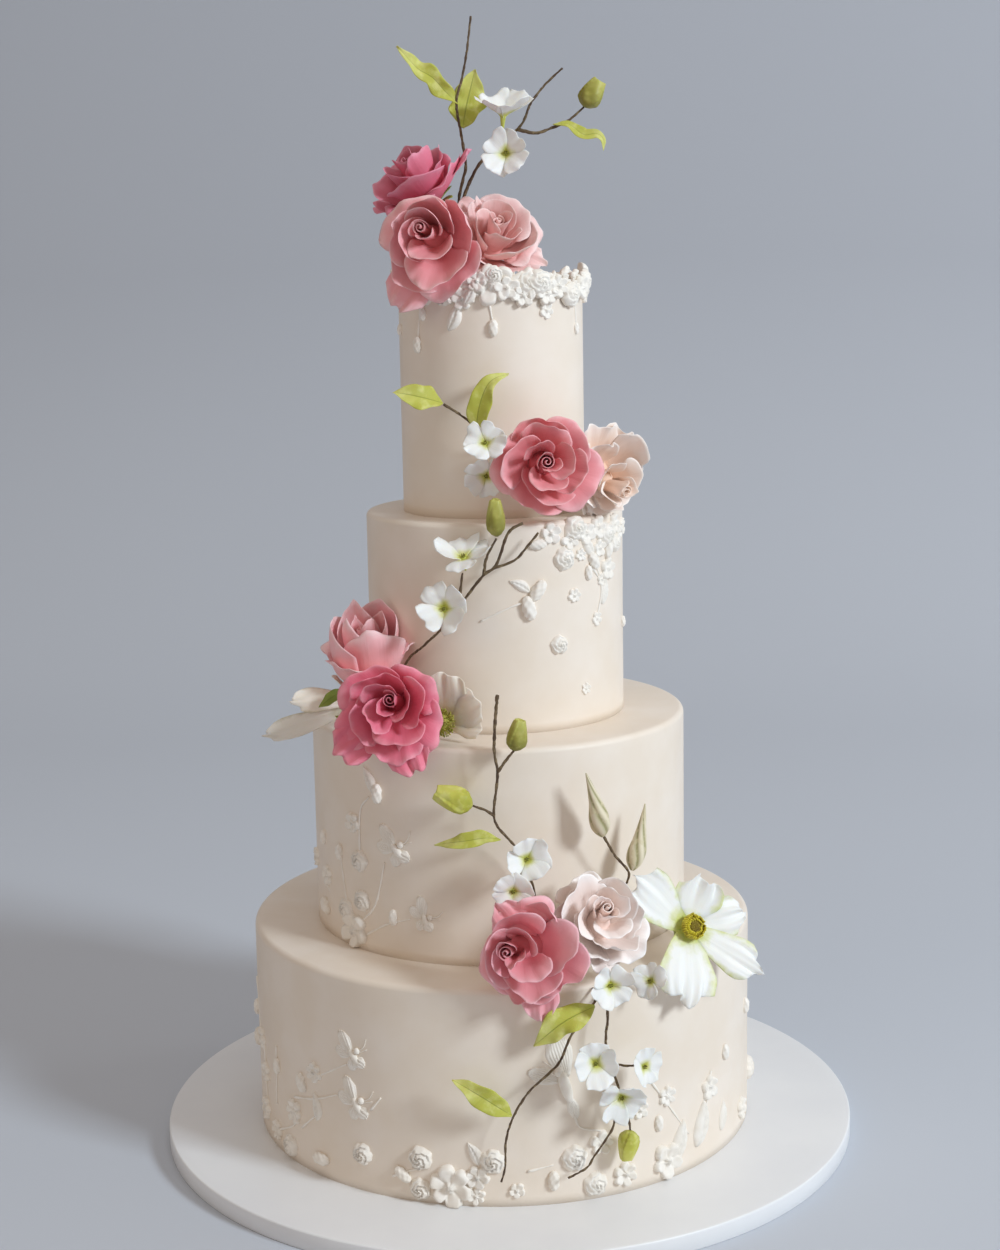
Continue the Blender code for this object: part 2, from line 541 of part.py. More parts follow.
# Relief by tier: kind, size in millimetres, angle, height, spin.
RELIEF = {
    "tier_1": [
        ("bud", 5.0, -83.0, 76.0, 10),
        ("blossom", 8.0, -74.0, 64.0, 0),
        ("bud", 5.0, -62.1, 57.0, 0),
        ("blossom", 8.0, -71.0, 44.0, 20),
        ("blossom", 9.0, -71.5, 18.0, 40),
        ("blossom", 8.0, -63.5, 12.0, 10),
        ("rosette", 8.5, -56.4, 9.0, 0),
        ("blossom", 9.0, -54.3, 34.1, 30),
        ("leaf", 8.5, -46.0, 44.8, 8),
        ("bud", 6.0, -50.8, 56.8, 20),
        ("blossom", 7.5, -46.2, 67.5, 20),
        ("butterfly", 14.0, -34.6, 86.0, 10),
        ("butterfly", 15.0, -34.2, 55.0, 0),
        ("bud", 6.5, -44.6, 11.6, 90),
        ("rosette", 8.0, -32.5, 23.9, 0),
        ("rosette", 9.0, -18.5, 28.2, 20),
        ("bud", 6.0, -22.5, 16.4, 50),
        ("rosette", 8.0, -18.6, 8.4, 45),
        ("blossom", 16.0, -12.0, 12.0, 18),
        ("blossom", 9.0, -6.3, 18.7, 35),
        ("leaf", 7.5, -6.9, 33.4, 25),
        ("rosette", 9.0, -2.9, 28.8, 10),
        ("blossom", 6.5, -6.4, 6.5, 0),
        ("blossom", 6.0, 2.1, 9.9, 20),
        ("leaf", 19.0, 13.4, 78.0, -14),
        ("leaf", 14.0, 7.6, 69.0, 68),
        ("bud", 10.0, 11.4, 63.0, 42),
        ("rosette", 9.5, 14.6, 27.9, 0),
        ("bud", 6.0, 10.0, 15.1, 0),
        ("blossom", 9.0, 20.7, 34.6, 10),
        ("rosette", 9.0, 19.2, 9.3, 25),
        ("blossom", 10.0, 26.3, 12.0, 0),
        ("blossom", 7.0, 30.0, 50.6, 0),
        ("blossom", 8.0, 37.3, 54.4, 15),
        ("bud", 5.0, 35.0, 38.6, 0),
        ("leaf", 14.0, 48.0, 27.1, -15),
        ("leaf", 13.0, 40.6, 22.0, -20),
        ("blossom", 9.5, 51.6, 48.4, 0),
        ("leaf", 9.0, 57.3, 22.8, -8),
        ("bud", 5.0, 58.6, 64.4, 0),
        ("blossom", 13.0, 37.2, 12.5, 30),
        ("bud", 5.0, 74.0, 80.0, 0),
        ("blossom", 9.0, 70.0, 14.0, 0),
        ("rosette", 9.0, 84.0, 26.0, 0),
        ("blossom", 13.0, 100.0, 13.5, 20),
        ("rosette", 9.0, 124.0, 11.0, 0),
        ("butterfly", 14.0, 152.0, 60.0, 0),
        ("blossom", 14.0, 166.0, 14.0, 0),
        ("rosette", 9.0, 192.0, 11.0, 0),
        ("blossom", 13.0, 222.0, 13.5, 0),
        ("rosette", 9.0, 250.0, 12.0, 0),
        ("bud", 6.0, 274.0, 52.0, 0),
    ],
    "tier_2": [
        ("leaf", 8.0, -41.6, 110.8, 25),
        ("bud", 6.0, -38.0, 103.2, 0),
        ("blossom", 7.5, -48.8, 80.6, 10),
        ("bud", 4.5, -68.0, 61.9, 0),
        ("blossom", 7.5, -80.0, 42.0, 0),
        ("bud", 5.0, -56.3, 58.2, 0),
        ("rosette", 8.0, -46.1, 57.2, 30),
        ("butterfly", 15.0, -32.3, 68.5, 12),
        ("blossom", 8.0, -65.5, 37.7, 0),
        ("bud", 6.5, -67.5, 16.5, 60),
        ("rosette", 8.0, -53.5, 22.3, 0),
        ("rosette", 8.0, -45.5, 31.5, 40),
        ("blossom", 14.0, -49.1, 10.0, 90),
        ("bud", 5.0, -33.3, 25.7, 0),
        ("butterfly", 12.0, -23.4, 27.5, -15),
        ("blossom", 8.0, -112.0, 34.0, 0),
        ("leaf", 9.0, -152.0, 40.0, 20),
        ("blossom", 12.0, -170.0, 13.0, 0),
        ("butterfly", 13.0, 136.0, 60.0, 0),
        ("blossom", 11.0, 112.0, 12.0, 0),
    ],
    "tier_3": [
        ("blossom", 8.5, 24.3, 123.0, 0),
        ("bud", 5.5, 18.3, 117.0, 90),
        ("blossom", 8.5, 43.0, 121.0, 20),
        ("blossom", 7.5, 34.0, 118.0, 50),
        ("rosette", 8.5, 30.8, 106.6, 0),
        ("blossom", 5.0, 39.5, 108.0, 0),
        ("bud", 6.0, 47.2, 103.0, 30),
        ("blossom", 8.5, 58.0, 96.0, 0),
        ("leaf", 8.0, 54.6, 82.5, -12),
        ("blossom", 5.5, 35.8, 82.9, 0),
        ("blossom", 5.5, 49.3, 66.0, 30),
        ("leaf", 7.0, 10.2, 91.5, 60),
        ("bud", 7.0, 18.0, 88.5, -35),
        ("bud", 7.5, 13.9, 78.0, 12),
        ("rosette", 7.0, 27.8, 53.4, 0),
        ("blossom", 4.5, 41.8, 23.0, 0),
        ("bud", 3.5, 79.0, 57.1, 0),
        ("blossom", 6.5, 78.0, 119.0, 0),
        ("blossom", 8.0, 104.0, 120.0, 0),
        ("rosette", 8.0, 128.0, 112.0, 0),
        ("blossom", 8.0, 168.0, 120.0, 0),
        ("blossom", 6.0, 196.0, 104.0, 0),
    ],
    "tier_4": [
        ("rosette", 6.5, -43.0, 136.0, 0),
        ("rosette", 6.5, -29.5, 135.5, 30),
        ("leaf", 10.0, -14.5, 142.0, 55),
        ("blossom", 12.0, 1.1, 142.5, 0),
        ("bud", 5.0, 1.2, 116.5, 0),
        ("rosette", 8.0, 21.5, 143.0, 0),
        ("blossom", 7.0, 36.0, 143.0, 10),
        ("blossom", 7.5, 50.5, 142.0, 30),
        ("blossom", 7.0, 64.5, 144.0, 0),
        ("blossom", 7.0, 79.0, 142.5, 15),
        ("blossom", 7.0, 92.0, 140.0, 40),
        ("blossom", 6.0, 35.5, 126.0, 0),
        ("leaf", 9.0, -23.0, 124.0, -22),
        ("bud", 4.0, -45.2, 125.0, 0),
        ("bud", 5.0, -50.6, 106.1, 0),
        ("bud", 3.5, -76.0, 114.5, 0),
        ("bud", 3.5, 64.3, 114.0, 0),
        ("rosette", 7.0, 107.0, 142.0, 0),
        ("blossom", 8.0, 123.0, 143.0, 0),
        ("blossom", 7.0, 139.0, 141.0, 20),
        ("rosette", 7.5, 154.0, 143.0, 0),
        ("blossom", 9.0, 171.0, 142.0, 0),
        ("blossom", 7.5, 203.0, 143.0, 30),
        ("blossom", 8.0, 219.0, 141.5, 0),
        ("blossom", 7.5, 252.0, 142.0, 0),
        ("blossom", 7.5, 268.0, 141.0, 20),
        ("rosette", 7.0, 284.0, 141.0, 0),
        ("blossom", 7.0, 301.0, 139.0, 0),
        ("bud", 4.5, 226.0, 116.0, 0),
    ],
}

# Raised stems by tier, each through (angle, height) places.
RELIEF_STEMS = {
    "tier_1": [
        [(-84.0, 96.0), (-76.0, 66.0)],
        [(-62.5, 70.0), (-63.5, 30.0)],
        [(-51.5, 26.0), (-46.5, 38.0)],
        [(-46.0, 64.0), (-36.0, 80.0)],
        [(-30.0, 54.0), (-27.4, 63.0)],
        [(14.5, 56.0), (16.0, 47.0), (21.0, 42.5)],
        [(4.5, 22.0), (10.0, 25.0)],
        [(33.0, 67.0), (37.3, 50.0), (44.1, 24.0)],
        [(52.3, 58.0), (50.4, 34.0)],
    ],
    "tier_2": [
        [(-53.0, 12.0), (-68.0, 32.0)],
        [(-52.0, 14.0), (-56.0, 56.0)],
        [(-48.5, 14.0), (-40.3, 30.6), (-36.0, 60.0)],
        [(-46.0, 50.0), (-45.5, 88.0), (-41.5, 100.0)],
        [(-44.0, 10.0), (-36.0, 20.0), (-27.5, 26.5)],
    ],
    "tier_3": [
        [(13.0, 82.0), (6.0, 79.0), (-6.9, 70.4)],
        [(44.0, 116.0), (52.0, 92.0)],
    ],
    "tier_4": [
        [(-1.4, 135.0), (1.0, 120.0)],
        [(-47.0, 134.0), (-50.6, 109.0)],
        [(62.5, 138.0), (64.3, 116.0)],
    ],
}


# Where each flower, leaf, bud and wire sits. A place is a world point in millimetres or around(tier, angle, height, out).


def build_top_group():
    """Three roses on the top tier and the tall spray above them."""
    ledge = FEET["top"] + 0.3
    rose(
        "rose_dark_top",
        (-44, -16, 621),
        -46,
        34,
        29.5,
        0.7,
        3,
        (-30, -8, ledge),
        ROSE_DARK,
        [(48, 38, 9, (70, 72, 66), 0.3, 0.5), (-150, 34, 12, (72, 78, 88), 0.3, 0.6)],
    )
    rose(
        "rose_pink_top",
        (-35, -62, 582),
        -18,
        8,
        29.0,
        0.7,
        5,
        (-26, -30, ledge),
        ROSE_PINK,
        [(-124, 43, 15, (70, 78, 96), 0.3, 0.5)],
    )
    rose(
        "rose_light_top",
        (2, -12, 582),
        30,
        50,
        27.5,
        0.42,
        8,
        (0, -8, ledge),
        ROSE_LIGHT,
        [(-100, 26, 9, (76, 84, 104), 0.3, 0.6), (-20, 34, 10, (76, 74, 92), 0.3, 0.5)],
    )
    twig(
        "twig_top",
        [(-14, 10, ledge), (-20, 10, 585), (-22, 9, 608), (-19, 6, 623), (-17, 4, 631), (-19, 0, 648)]
        + [(-22, -4, 669), (-18, -4, 685), (-15, -4, 700), (-12, -4, 722)],
        [(-21, 9, 606), (-14, 6, 623), (-5, 0, 636), (17, -8, 654), (24, -8, 668), (33, -8, 679), (44, -8, 689)],
        [(16, -8, 652.5), (27, -10, 650), (37, -10, 653), (47, -10, 657), (56.2, -10, 664)],
        radius=1.25,
    )
    bud("bud_top", (57.3, -10, 665.2), (67, -10, 681), 8.3)
    leaf("leaf_top_left", (-24.6, -4, 672), (-58, -8, 704), 6.5, (0.1, -1, 0.25), bow=-4, wave=2.2)
    leaf("leaf_top_broad", (-18.5, -0.5, 657.5), (-10, 3, 690), 12.0, (0.15, -1, 0.1), bow=-4, wave=2.0)
    leaf("leaf_top_right", (37.5, -12.6, 655), (69, -13, 638), 4.2, (0, -1, 0.4), bow=2, wave=1.6, twist=30)
    blossom("blossom_top_side", (7, -16.5, 664.5), 15, 62, 18.0, 15, 16.0, cup=0.12)
    blossom("blossom_top_front", (8, -20, 638), -8, 10, 15.0, 45, 9.5)


def build_upper_group():
    """Two roses on the third tier's ledge, the sprigs on the top tier and the long sprig down the third."""
    rose("rose_coral", (29, -86, 451), 8, 6, 30.5, 0.9, 2, around("tier_4", 25, 30, 0.6), ROSE_PINK)
    rose(
        "rose_peach",
        (66.5, -45, 444),
        62,
        4,
        29.0,
        0.85,
        7,
        around("tier_4", 62, 22, 0.6),
        ROSE_PEACH,
        [(-100, 31, 11, (66, 72, 84), 0.3, 0.6)],
    )
    twig(
        "twig_upper_leaves",
        [(-32.5, -73.5, 488), (-22, -72, 481), (-13, -71, 473), (-9, -69, 466), around("tier_4", -3, 42, 0.6)],
    )
    leaf("leaf_upper_left", (-34, -75, 489), (-63, -79, 496), 7.6, (0, -1, 0.5), bow=2)
    leaf("leaf_upper_right", around("tier_4", -7, 57, 15), around("tier_4", 8.8, 90, 8), 7.2, (-0.4, -1, 0.2), bow=2)
    blossom("blossom_upper_top", around("tier_4", -3.0, 50, 32), -8, 22, 13.6, 60, 10.0)
    blossom("blossom_upper_low", around("tier_4", -3.5, 28, 17), -12, -4, 13.0, 20, 9.0)
    twig(
        "twig_long",
        [around("tier_3", a, h, o) for a, h, o in (
            (10.5, 131.8, 11), (6.3, 128.6, 11), (3.9, 122.5, 10), (1.9, 112.6, 10), (-0.5, 105.2, 10),
            (-4.7, 100.3, 10), (-10.7, 88.4, 10), (-16.0, 77.5, 9), (-22.3, 65.7, 9), (-29.0, 56.1, 9),
            (-38.3, 42.6, 9), (-39.5, 20.0, 11), (-39.0, 0.9, 12),
        )],
        [around("tier_3", a, h, 10) for a, h in ((-4.5, 100.5), (-3.2, 111.5), (0.6, 123.0))],
        [around("tier_3", a, h, 10) for a, h in ((-0.8, 104.9), (7.1, 109.3), (11.9, 117.0), (16.5, 125.5))],
        [around("tier_3", a, h, 10) for a, h in ((-13.8, 81.8), (-13.4, 91.0), (-12.4, 102.0))],
        radius=1.2,
    )
    bud("bud_upper", around("tier_3", 0.8, 124.4, 11), around("tier_3", 0.2, 147.0, 13), 6.3)
    blossom("blossom_long_side", around("tier_3", -11.5, 114.0, 14), -12, 48, 17.0, 10, 11.0, cup=0.1)
    blossom("blossom_long_front", around("tier_3", -18.2, 81.3, 19), -14, 14, 16.5, 40, 7.4)


def build_left_group():
    """Two roses at the left of the second tier's ledge, with the cream flowers beside them."""
    rose(
        "rose_light_left",
        (-84, -60.5, 331.5),
        -24,
        42,
        28.5,
        0.2,
        11,
        around("tier_3", -52, 30, 0.6),
        ROSE_LIGHT,
        [(-34, 38, 12, (66, 64, 78), 0.3, 0.5)],
    )
    rose(
        "rose_deep_left",
        (-67, -118, 307),
        -8,
        14,
        30.5,
        0.85,
        4,
        around("tier_3", -38, 6, 0.6),
        ROSE_PINK,
        [(-140, 38, 14, (72, 74, 92), 0.3, 0.6), (-62, 38, 14, (72, 74, 88), 0.3, 0.6)],
    )
    open_flower(
        "poppy",
        (-36, -100, 297.5),
        -14,
        10,
        [
            (86, 30, 14.5, (80, 62, 74), 0.5, 0.8),
            (30, 27, 13.0, (84, 62, 76), 0.5, 0.8),
            (-4, 24, 9.0, (86, 70, 80), 0.5, 0.8),
        ],
        around("tier_3", -19, 3, 3),
        PETAL_CREAM,
        hub=4.5,
    )
    open_flower(
        "cream_flower",
        (-92, -67, 304),
        -90,
        -10,
        [
            (-62, 60, 9.0, (22, 10, 0), 0.25, 0.5),
            (62, 40, 8.5, (34, 22, 4), 0.25, 0.5),
            (100, 20, 7.0, (66, 58, 52), 0.3, 0.6),
        ],
        around("tier_3", -54, 10, 0.6),
        PETAL_CREAM,
        hub=4.0,
    )
    leaf("leaf_left_high", (-97, -86, 316), (-113, -88, 305), 3.6, (0, -1, 0.3), bow=1.5, wave=0.4, look=BUD_GREEN)
    leaf("leaf_left_low", (-90, -86, 293), (-103, -90, 300), 3.0, (0, -1, 0.3), bow=1.0, wave=0.4, look=BUD_GREEN)


def build_second_tier_sprig():
    """The upright sprig on the front of the second tier."""
    twig(
        "twig_second",
        [around("tier_2", a, h, o) for a, h, o in (
            (-0.1, 172.2, 14), (-0.7, 158.0, 14), (-1.1, 138.1, 14), (-0.4, 124.0, 14), (-1.5, 102.0, 14),
            (-0.8, 92.9, 14), (2.4, 83.0, 13), (5.2, 74.6, 12), (6.6, 63.0, 10), (8.6, 52.0, 9), (9.6, 36.0, 0.6),
        )],
        [around("tier_2", a, h, 14) for a, h in ((-0.4, 125.4), (1.6, 132.0), (3.7, 137.0))],
        [around("tier_2", a, h, 14) for a, h in ((-1.4, 98.6), (-3.7, 102.3), (-6.2, 104.2))],
        [around("tier_2", a, h, o) for a, h, o in ((6.4, 64.0, 10), (4.4, 61.0, 14), (3.0, 59.2, 19))],
        radius=1.15,
    )
    bud("bud_second_high", around("tier_2", 4.0, 138.2, 14), around("tier_2", 5.4, 157.0, 14), 6.6)
    bud("bud_second_low", around("tier_2", -6.9, 104.8, 14.5), around("tier_2", -16.2, 113.0, 16), 8.6)
    leaf("leaf_second", around("tier_2", -1.8, 85, 14), around("tier_2", -17, 80, 14), 5.6, (0, -1, 0.6), bow=3)
    blossom("blossom_second_high", around("tier_2", 6.1, 74.6, 25), 10, 12, 14.5, 20, 10.0)
    blossom("blossom_second_low", around("tier_2", 2.6, 57.5, 33), 0, -4, 13.0, 45, 12.5)


def build_lower_group():
    """The rose pair, the open white flower, long buds and blossoms on the lowest ledge."""
    rose(
        "rose_pink_low",
        (17, -171, 174),
        -14,
        8,
        31.0,
        0.75,
        9,
        around("tier_2", 8, 14, 0.6),
        ROSE_PINK,
        [(-84, 39, 12, (70, 76, 88), 0.3, 0.25), (128, 36, 11, (66, 70, 74), 0.3, 0.5)],
    )
    rose("rose_blush_low", (52, -145, 182), -8, 36, 29.0, 0.6, 6, around("tier_2", 26, 24, 0.6), ROSE_BLUSH)
    open_flower(
        "open_white_flower",
        (112, -113, 168),
        24,
        22,
        [
            (128, 47, 12.5, (88, 74, 84), 0.25, 0.5),
            (50, 33, 13.5, (92, 80, 80), 0.3, 0.8),
            (4, 36, 10.5, (84, 70, 96), 0.3, 0.5),
            (-42, 48, 10.0, (84, 72, 92), 0.3, 0.35),
            (-98, 44, 14.0, (80, 66, 92), 0.3, 0.7),
            (-74, 37, 11.0, (98, 88, 94), 0.3, 0.7),
        ],
        around("tier_2", 45, 8, 0.6),
        PETAL_WHITE,
        hub=5.0,
    )
    seed_head("flower_centre", np.array([112, -113, 168]) + facing_frame(24, 22)[2] * 6.4, 24, 22, 9.0, 4.2, 12)
    seed_head("poppy_centre", np.array([-36, -100, 297]) + facing_frame(-14, 10)[2] * 8.2, -14, 10, 9.0, 10.5, 12)
    twig(
        "twig_long_buds",
        [around("tier_2", a, h, o) for a, h, o in (
            (26.6, 81.4, 18), (29.8, 68.5, 18), (34.2, 55.8, 17), (35.6, 44.0, 9), (36.0, 34.0, 0.6),
        )],
    )
    bud("long_bud_left", around("tier_2", 26.3, 82.2, 18), around("tier_2", 21.8, 122.3, 18), 6.4, BUD_PALE, 6, LONG_BUD)
    bud("long_bud_right", around("tier_2", 34.9, 57.6, 18.5), around("tier_2", 39.4, 97.0, 18), 5.8, BUD_PALE, 6, LONG_BUD)
    blossom("blossom_low_front", (60, -177, 155), 12, 12, 13.0, 45, 8.0)
    blossom("blossom_low_side", around("tier_1", 29.6, 137.5, 14), -34, 18, 11.5, 20, 8.0)


def build_lower_sprigs():
    """The two sprigs that hang down the front of the lowest tier."""
    twig(
        "twig_low_left",
        [around("tier_1", a, h, o) for a, h, o in (
            (19.0, 134.0, 0.7), (18.4, 131.0, 10), (16.3, 123.9, 12), (13.0, 110.3, 12), (10.9, 96.0, 12),
            (8.4, 88.0, 12), (4.5, 77.2, 12), (1.5, 62.0, 12), (0.0, 47.0, 12), (-0.2, 31.3, 12), (-1.0, 21.0, 11),
        )],
    )
    leaf("leaf_low_high", around("tier_1", 17.4, 129, 16), around("tier_1", 5.6, 107, 14), 8.4, (0, -1, 0.4), bow=3)
    leaf("leaf_low_mid", around("tier_1", 0.8, 64.6, 14.5), around("tier_1", -10.1, 86, 14), 7.4, (0, -1, 0.3), bow=2)
    twig(
        "twig_low_right",
        [around("tier_1", a, h, o) for a, h, o in (
            (21.2, 133.0, 0.7), (20.6, 129.5, 10), (20.3, 118.9, 14), (19.9, 109.6, 14), (20.1, 98.7, 14),
            (21.8, 81.5, 14), (22.9, 67.9, 14), (22.2, 57.1, 12), (21.3, 48.0, 12), (19.2, 39.5, 12),
            (17.3, 32.1, 12), (16.0, 25.8, 11), (12.2, 20.8, 11),
        )],
        [around("tier_1", a, h, 14) for a, h in ((20.1, 99.5), (18.4, 97.2), (17.2, 96.0))],
        [around("tier_1", a, h, 14) for a, h in ((20.9, 90.8), (23.9, 87.8), (26.4, 86.6))],
        [around("tier_1", a, h, 13) for a, h in ((22.9, 66.6), (24.6, 55.0), (25.1, 46.6))],
    )
    bud("bud_low", around("tier_1", 25.1, 45.8, 13), around("tier_1", 24.1, 27.5, 13), 6.9)
    blossom("blossom_hanging_left", around("tier_1", 16.8, 95.8, 22.5), 6, 10, 14.5, 10, 7.2)
    blossom("blossom_hanging_right", around("tier_1", 26.6, 88.5, 22.5), 38, 12, 12.5, 0, 7.2)
    blossom("blossom_hanging_low", around("tier_1", 21.9, 71.6, 22.5), 6, -14, 14.5, 60, 7.2)


def build_cake():
    """The board and the four tiers."""
    edge = BOARD_EDGE
    mesh_object(
        "cake_board",
        turned(
            [
                (BOARD_RADIUS, 0.0),
                (BOARD_RADIUS, BOARD_THICKNESS - edge),
                (BOARD_RADIUS - edge, BOARD_THICKNESS),
            ],
            54,
        ),
        BOARD_WHITE,
    )
    for name, motifs in RELIEF.items():
        tier_solid(name, motifs, RELIEF_STEMS[name])


def main():
    for old in list(bpy.data.objects):
        bpy.data.objects.remove(old)
    build_cake()
    build_top_group()
    build_upper_group()
    build_left_group()
    build_second_tier_sprig()
    build_lower_group()
    build_lower_sprigs()


main()
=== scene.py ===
"""Looks of a four-tier wedding cake with wired sugar flowers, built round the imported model.

Sizes and places are in millimetres and turned to metres where a mesh is made. The front is -Y,
angles round a tier are in degrees from the front towards +X, and heights are above the tier's foot.
"""

import math

import bpy
import numpy as np
from mathutils import Matrix, Vector


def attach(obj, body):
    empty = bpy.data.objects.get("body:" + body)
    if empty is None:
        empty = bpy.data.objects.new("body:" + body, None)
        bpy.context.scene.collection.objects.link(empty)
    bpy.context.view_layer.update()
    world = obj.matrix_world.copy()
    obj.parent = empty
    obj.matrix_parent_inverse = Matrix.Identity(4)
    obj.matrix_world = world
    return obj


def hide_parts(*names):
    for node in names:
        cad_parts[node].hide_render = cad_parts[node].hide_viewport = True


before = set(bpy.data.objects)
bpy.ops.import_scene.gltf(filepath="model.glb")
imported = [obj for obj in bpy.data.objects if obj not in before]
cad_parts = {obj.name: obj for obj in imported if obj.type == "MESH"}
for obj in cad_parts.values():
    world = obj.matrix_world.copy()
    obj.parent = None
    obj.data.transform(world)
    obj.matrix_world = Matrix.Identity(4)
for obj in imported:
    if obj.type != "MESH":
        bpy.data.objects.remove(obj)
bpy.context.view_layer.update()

MM = 0.001
# Air between the board, the tiers and what stands on them.
GAP = 0.3

# The board, the axis of the tiers, and the radius, height
# and top edge radius of each tier, as in the model.
BOARD_RADIUS, BOARD_THICKNESS, BOARD_EDGE = 228.6, 12.0, 1.2
STACK_X, STACK_Y = -3.0, -2.0
TIER_SIZES = {
    "tier_1": (163.4, 136.6, 4.0),
    "tier_2": (121.4, 136.0, 3.6),
    "tier_3": (82.5, 130.4, 3.2),
    "tier_4": (58.4, 141.8, 2.8),
}


def stacked_feet():
    """Height of each tier's foot, and of the cake's top,
    with a gap above the board and above each tier."""
    feet, height = {}, BOARD_THICKNESS + GAP
    for name, (_, tall, _) in TIER_SIZES.items():
        feet[name] = height
        height += tall + GAP
    return {**feet, "top": height}


FEET = stacked_feet()
LEDGE = FEET["top"] + 0.3
# How far the foot of a relief motif is sunk in the icing, and how far a wire's end stands off the side.
RELIEF_SINK, WIRE_END = 1.0, 0.6
# Thickness of a petal's finest edge, radius of the taped
# wire behind a rose, and radius of a twig at its tip.
FINE_EDGE, ROSE_WIRE, TWIG_TIP = 0.12, 1.15, 0.65
# Rows and columns of each kind of petal.
ROSE_GRID, LOOSE_GRID, OPEN_GRID, BLOSSOM_GRID = (22, 25), (24, 21), (34, 25), (19, 17)


# Points and closed surfaces


def around(tier, angle, height, out):
    """World point at an angle round a tier, above its foot and off its side."""
    radius = TIER_SIZES[tier][0] + out
    turn = np.radians(angle)
    return np.array(
        [STACK_X + radius * np.sin(turn), STACK_Y - radius * np.cos(turn), FEET[tier] + height]
    )


def facing_frame(azimuth, elevation, spin=0.0):
    """Right, up and outward unit vectors of something
    that looks along azimuth and elevation, as rows."""
    az, el, turn = math.radians(azimuth), math.radians(elevation), math.radians(spin)
    outward = np.array([math.sin(az) * math.cos(el), -math.cos(az) * math.cos(el), math.sin(el)])
    right = np.cross([0.0, 0.0, 1.0], outward)
    right /= np.linalg.norm(right)
    up = np.cross(outward, right)
    c, s = math.cos(turn), math.sin(turn)
    return np.array([right * c + up * s, up * c - right * s, outward])


def eased(x, places, values):
    """Values read off a smooth curve through a table: the table's
    straight lines, averaged over a tenth of its length."""
    fine = np.linspace(0, 1, 101)
    line = np.interp(fine, places, values)
    padded = np.concatenate([2 * line[0] - line[5:0:-1], line, 2 * line[-1] - line[-2:-7:-1]])
    return np.interp(x, fine, np.convolve(padded, np.ones(11) / 11, "valid"))


def smooth_path(points, step):
    """Points about a step apart on the Catmull-Rom curve through the given ones."""
    points = np.asarray(points, float)
    if len(points) == 2:
        points = np.array([points[0], points.mean(axis=0), points[1]])
    padded = np.concatenate([[2 * points[0] - points[1]], points, [2 * points[-1] - points[-2]]])
    found = []
    for before, a, b, after in zip(padded, padded[1:], padded[2:], padded[3:]):
        t = np.linspace(0, 1, max(2, round(float(np.linalg.norm(b - a)) / step) + 1))[:-1, None]
        curve = 2 * a + (b - before) * t + (2 * before - 5 * a + 4 * b - after) * t**2
        found.append(0.5 * (curve + (3 * a - before - 3 * b + after) * t**3))
    return np.concatenate([*found, points[-1:]])


def shape(points, faces, uv, tone=0.5):
    """A part of a piece, its faces turned to point outwards
    where their signed volume says they point in."""
    points = np.asarray(points, float).reshape(-1, 3)
    middle = points.mean(axis=0)
    volume = 0.0
    for group in faces:
        corners = points[group] - middle
        for k in range(1, group.shape[1] - 1):
            volume += np.einsum("ij,ij->", corners[:, 0], np.cross(corners[:, k], corners[:, k + 1]))
    if volume < 0:
        faces = [group[:, ::-1] for group in faces]
    return {
        "points": points,
        "faces": faces,
        "uv": np.asarray(uv, float).reshape(-1, 2),
        "tone": np.broadcast_to(np.asarray(tone, float).reshape(-1), (len(points),)).copy(),
    }


def cells(rows, cols, wrap):
    """Corner indices of the cells of a grid of points; wrap joins its last column to its first."""
    r = np.arange(rows - 1)[:, None]
    c = np.arange(cols if wrap else cols - 1)[None, :]
    d = (c + 1) % cols
    return np.stack(
        np.broadcast_arrays(r * cols + c, r * cols + d, (r + 1) * cols + d, (r + 1) * cols + c), -1
    ).reshape(-1, 4)


def grid_uv(rows, cols, wrap=False):
    """U across the columns and V along the rows, from 0 to 1."""
    u = np.arange(cols) / (cols if wrap else cols - 1)
    return np.stack(np.broadcast_arrays(u[None, :], np.linspace(0, 1, rows)[:, None]), -1)


def slab(front, back, tone=0.5):
    """A closed solid between two grids of points: both faces
    as quads and the wall round their rim as triangles."""
    rows, cols = front.shape[:2]
    face = cells(rows, cols, False)
    index = np.arange(rows * cols).reshape(rows, cols)
    rim = np.concatenate([index[0, :-1], index[:-1, -1], index[-1, :0:-1], index[:0:-1, 0]])
    after = np.roll(rim, -1)
    shift = rows * cols
    wall = np.stack([after, rim, rim + shift, after + shift], -1)
    uv = grid_uv(rows, cols)
    tone = np.broadcast_to(tone, (rows, cols)).reshape(-1)
    points = np.concatenate([front.reshape(-1, 3), back.reshape(-1, 3)])
    faces = [
        np.concatenate([face, face[:, ::-1] + shift]),
        np.concatenate([wall[:, [0, 1, 2]], wall[:, [0, 2, 3]]])
    ]
    return shape(points, faces, np.concatenate([uv.reshape(-1, 2)] * 2), np.concatenate([tone, tone]))


def sheet(grid, thickness, tone=0.5):
    """A thin closed sheet: the mid-surface moved half the thickness each way along its normal."""
    across = np.gradient(grid, axis=1)
    along = np.gradient(grid, axis=0)
    normal = np.cross(across, along)
    normal /= np.maximum(np.linalg.norm(normal, axis=2, keepdims=True), 1e-9)
    half = np.broadcast_to(np.asarray(thickness, float), grid.shape[:2])[..., None] / 2
    return slab(grid + normal * half, grid - normal * half, tone)


def thin_rim(grid, foot, rim):
    """Thickness of a petal from foot to rim, run out to a fine edge at its sides and its rim."""
    t = np.linspace(0, 1, grid[0])[:, None]
    s = np.linspace(-1, 1, grid[1])[None]
    return FINE_EDGE + (foot + (rim - foot) * t) * (1 - np.abs(s) ** 8) * (1 - t**12)


